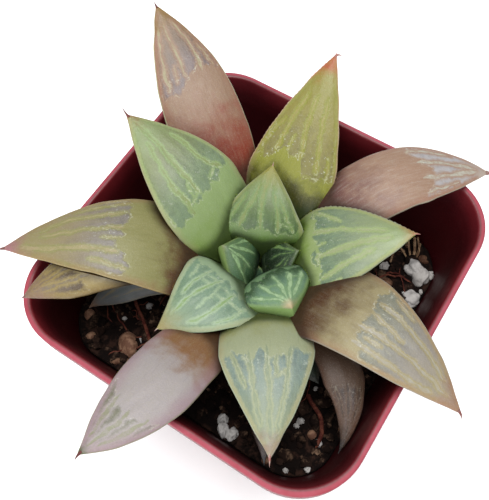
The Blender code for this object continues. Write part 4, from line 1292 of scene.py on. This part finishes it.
floor_grid = np.linspace(-FLOOR_REACH, FLOOR_REACH, FLOOR_POINTS)
floor_x, floor_y = np.meshgrid(floor_grid, floor_grid, indexing="ij")
k, j = np.meshgrid(np.arange(FLOOR_POINTS - 1), np.arange(FLOOR_POINTS - 1), indexing="ij")
corner = k * FLOOR_POINTS + j
floor_faces = np.stack([corner, corner + FLOOR_POINTS, corner + FLOOR_POINTS + 1, corner + 1], -1)
floor_places = np.stack([floor_x, floor_y, 0 * floor_x], -1).reshape(-1, 3)
floor = new_piece("floor", floor_places, floor_faces.reshape(-1, 4).tolist())
paper, paper_tree, paper_shader = new_material("white_paper")
paper_skin = mottled(paper_tree, (0.94, 0.94, 0.94, 1.0), (0.96, 0.96, 0.96, 1.0), 30.0)["Colour"]
wire(paper_tree, paper_shader, {"Base Color": paper_skin, "Roughness": 0.9})
floor.data.materials.append(paper)

world = bpy.data.worlds.new("studio")
world.use_nodes = True
world.node_tree.nodes["Background"].inputs["Color"].default_value = (0.95, 0.97, 1.0, 1.0)
world.node_tree.nodes["Background"].inputs["Strength"].default_value = 0.5
bpy.context.scene.world = world


def soft_light(name, place, target, size, power):
    """A large square area light that faces its target; places are in millimetres."""
    lamp = bpy.data.lights.new(name, "AREA")
    lamp.size = size * MM
    lamp.energy = power
    made = bpy.data.objects.new(name, lamp)
    bpy.context.scene.collection.objects.link(made)
    made.location = Vector(place) * MM
    aim = (Vector(target) - Vector(place)).normalized()
    made.rotation_mode = "QUATERNION"
    made.rotation_quaternion = aim.to_track_quat("-Z", "Y")


soft_light("window_light", (0.0, 20.0, 950.0), (0.0, 0.0, 50.0), WINDOW_SIZE, WINDOW_POWER)
soft_light("fill_light", (60.0, -440.0, 230.0), (0.0, 0.0, 20.0), FILL_SIZE, FILL_POWER)

azimuth, elevation, roll = (math.radians(a) for a in CAMERA_TURNS)
outward = Vector((math.sin(azimuth), -math.cos(azimuth), 0.0))
level = Vector((math.cos(azimuth), math.sin(azimuth), 0.0))
upwards = Vector((0.0, 0.0, 1.0))
back = math.cos(elevation) * outward + math.sin(elevation) * upwards
upright = math.cos(elevation) * upwards - math.sin(elevation) * outward
right = math.cos(roll) * level + math.sin(roll) * upright
top = -math.sin(roll) * level + math.cos(roll) * upright
lens = bpy.data.cameras.new("camera")
lens.lens = CAMERA_LENS
lens.clip_start, lens.clip_end = 0.005, 20.0
camera = bpy.data.objects.new("camera", lens)
bpy.context.scene.collection.objects.link(camera)
camera.rotation_mode = "QUATERNION"
camera.rotation_quaternion = Matrix((right, top, back)).transposed().to_quaternion()
camera.location = (CAMERA_TARGET + back * CAMERA_DISTANCE) * MM
bpy.context.scene.camera = camera
bpy.context.scene.view_settings.view_transform = "Standard"
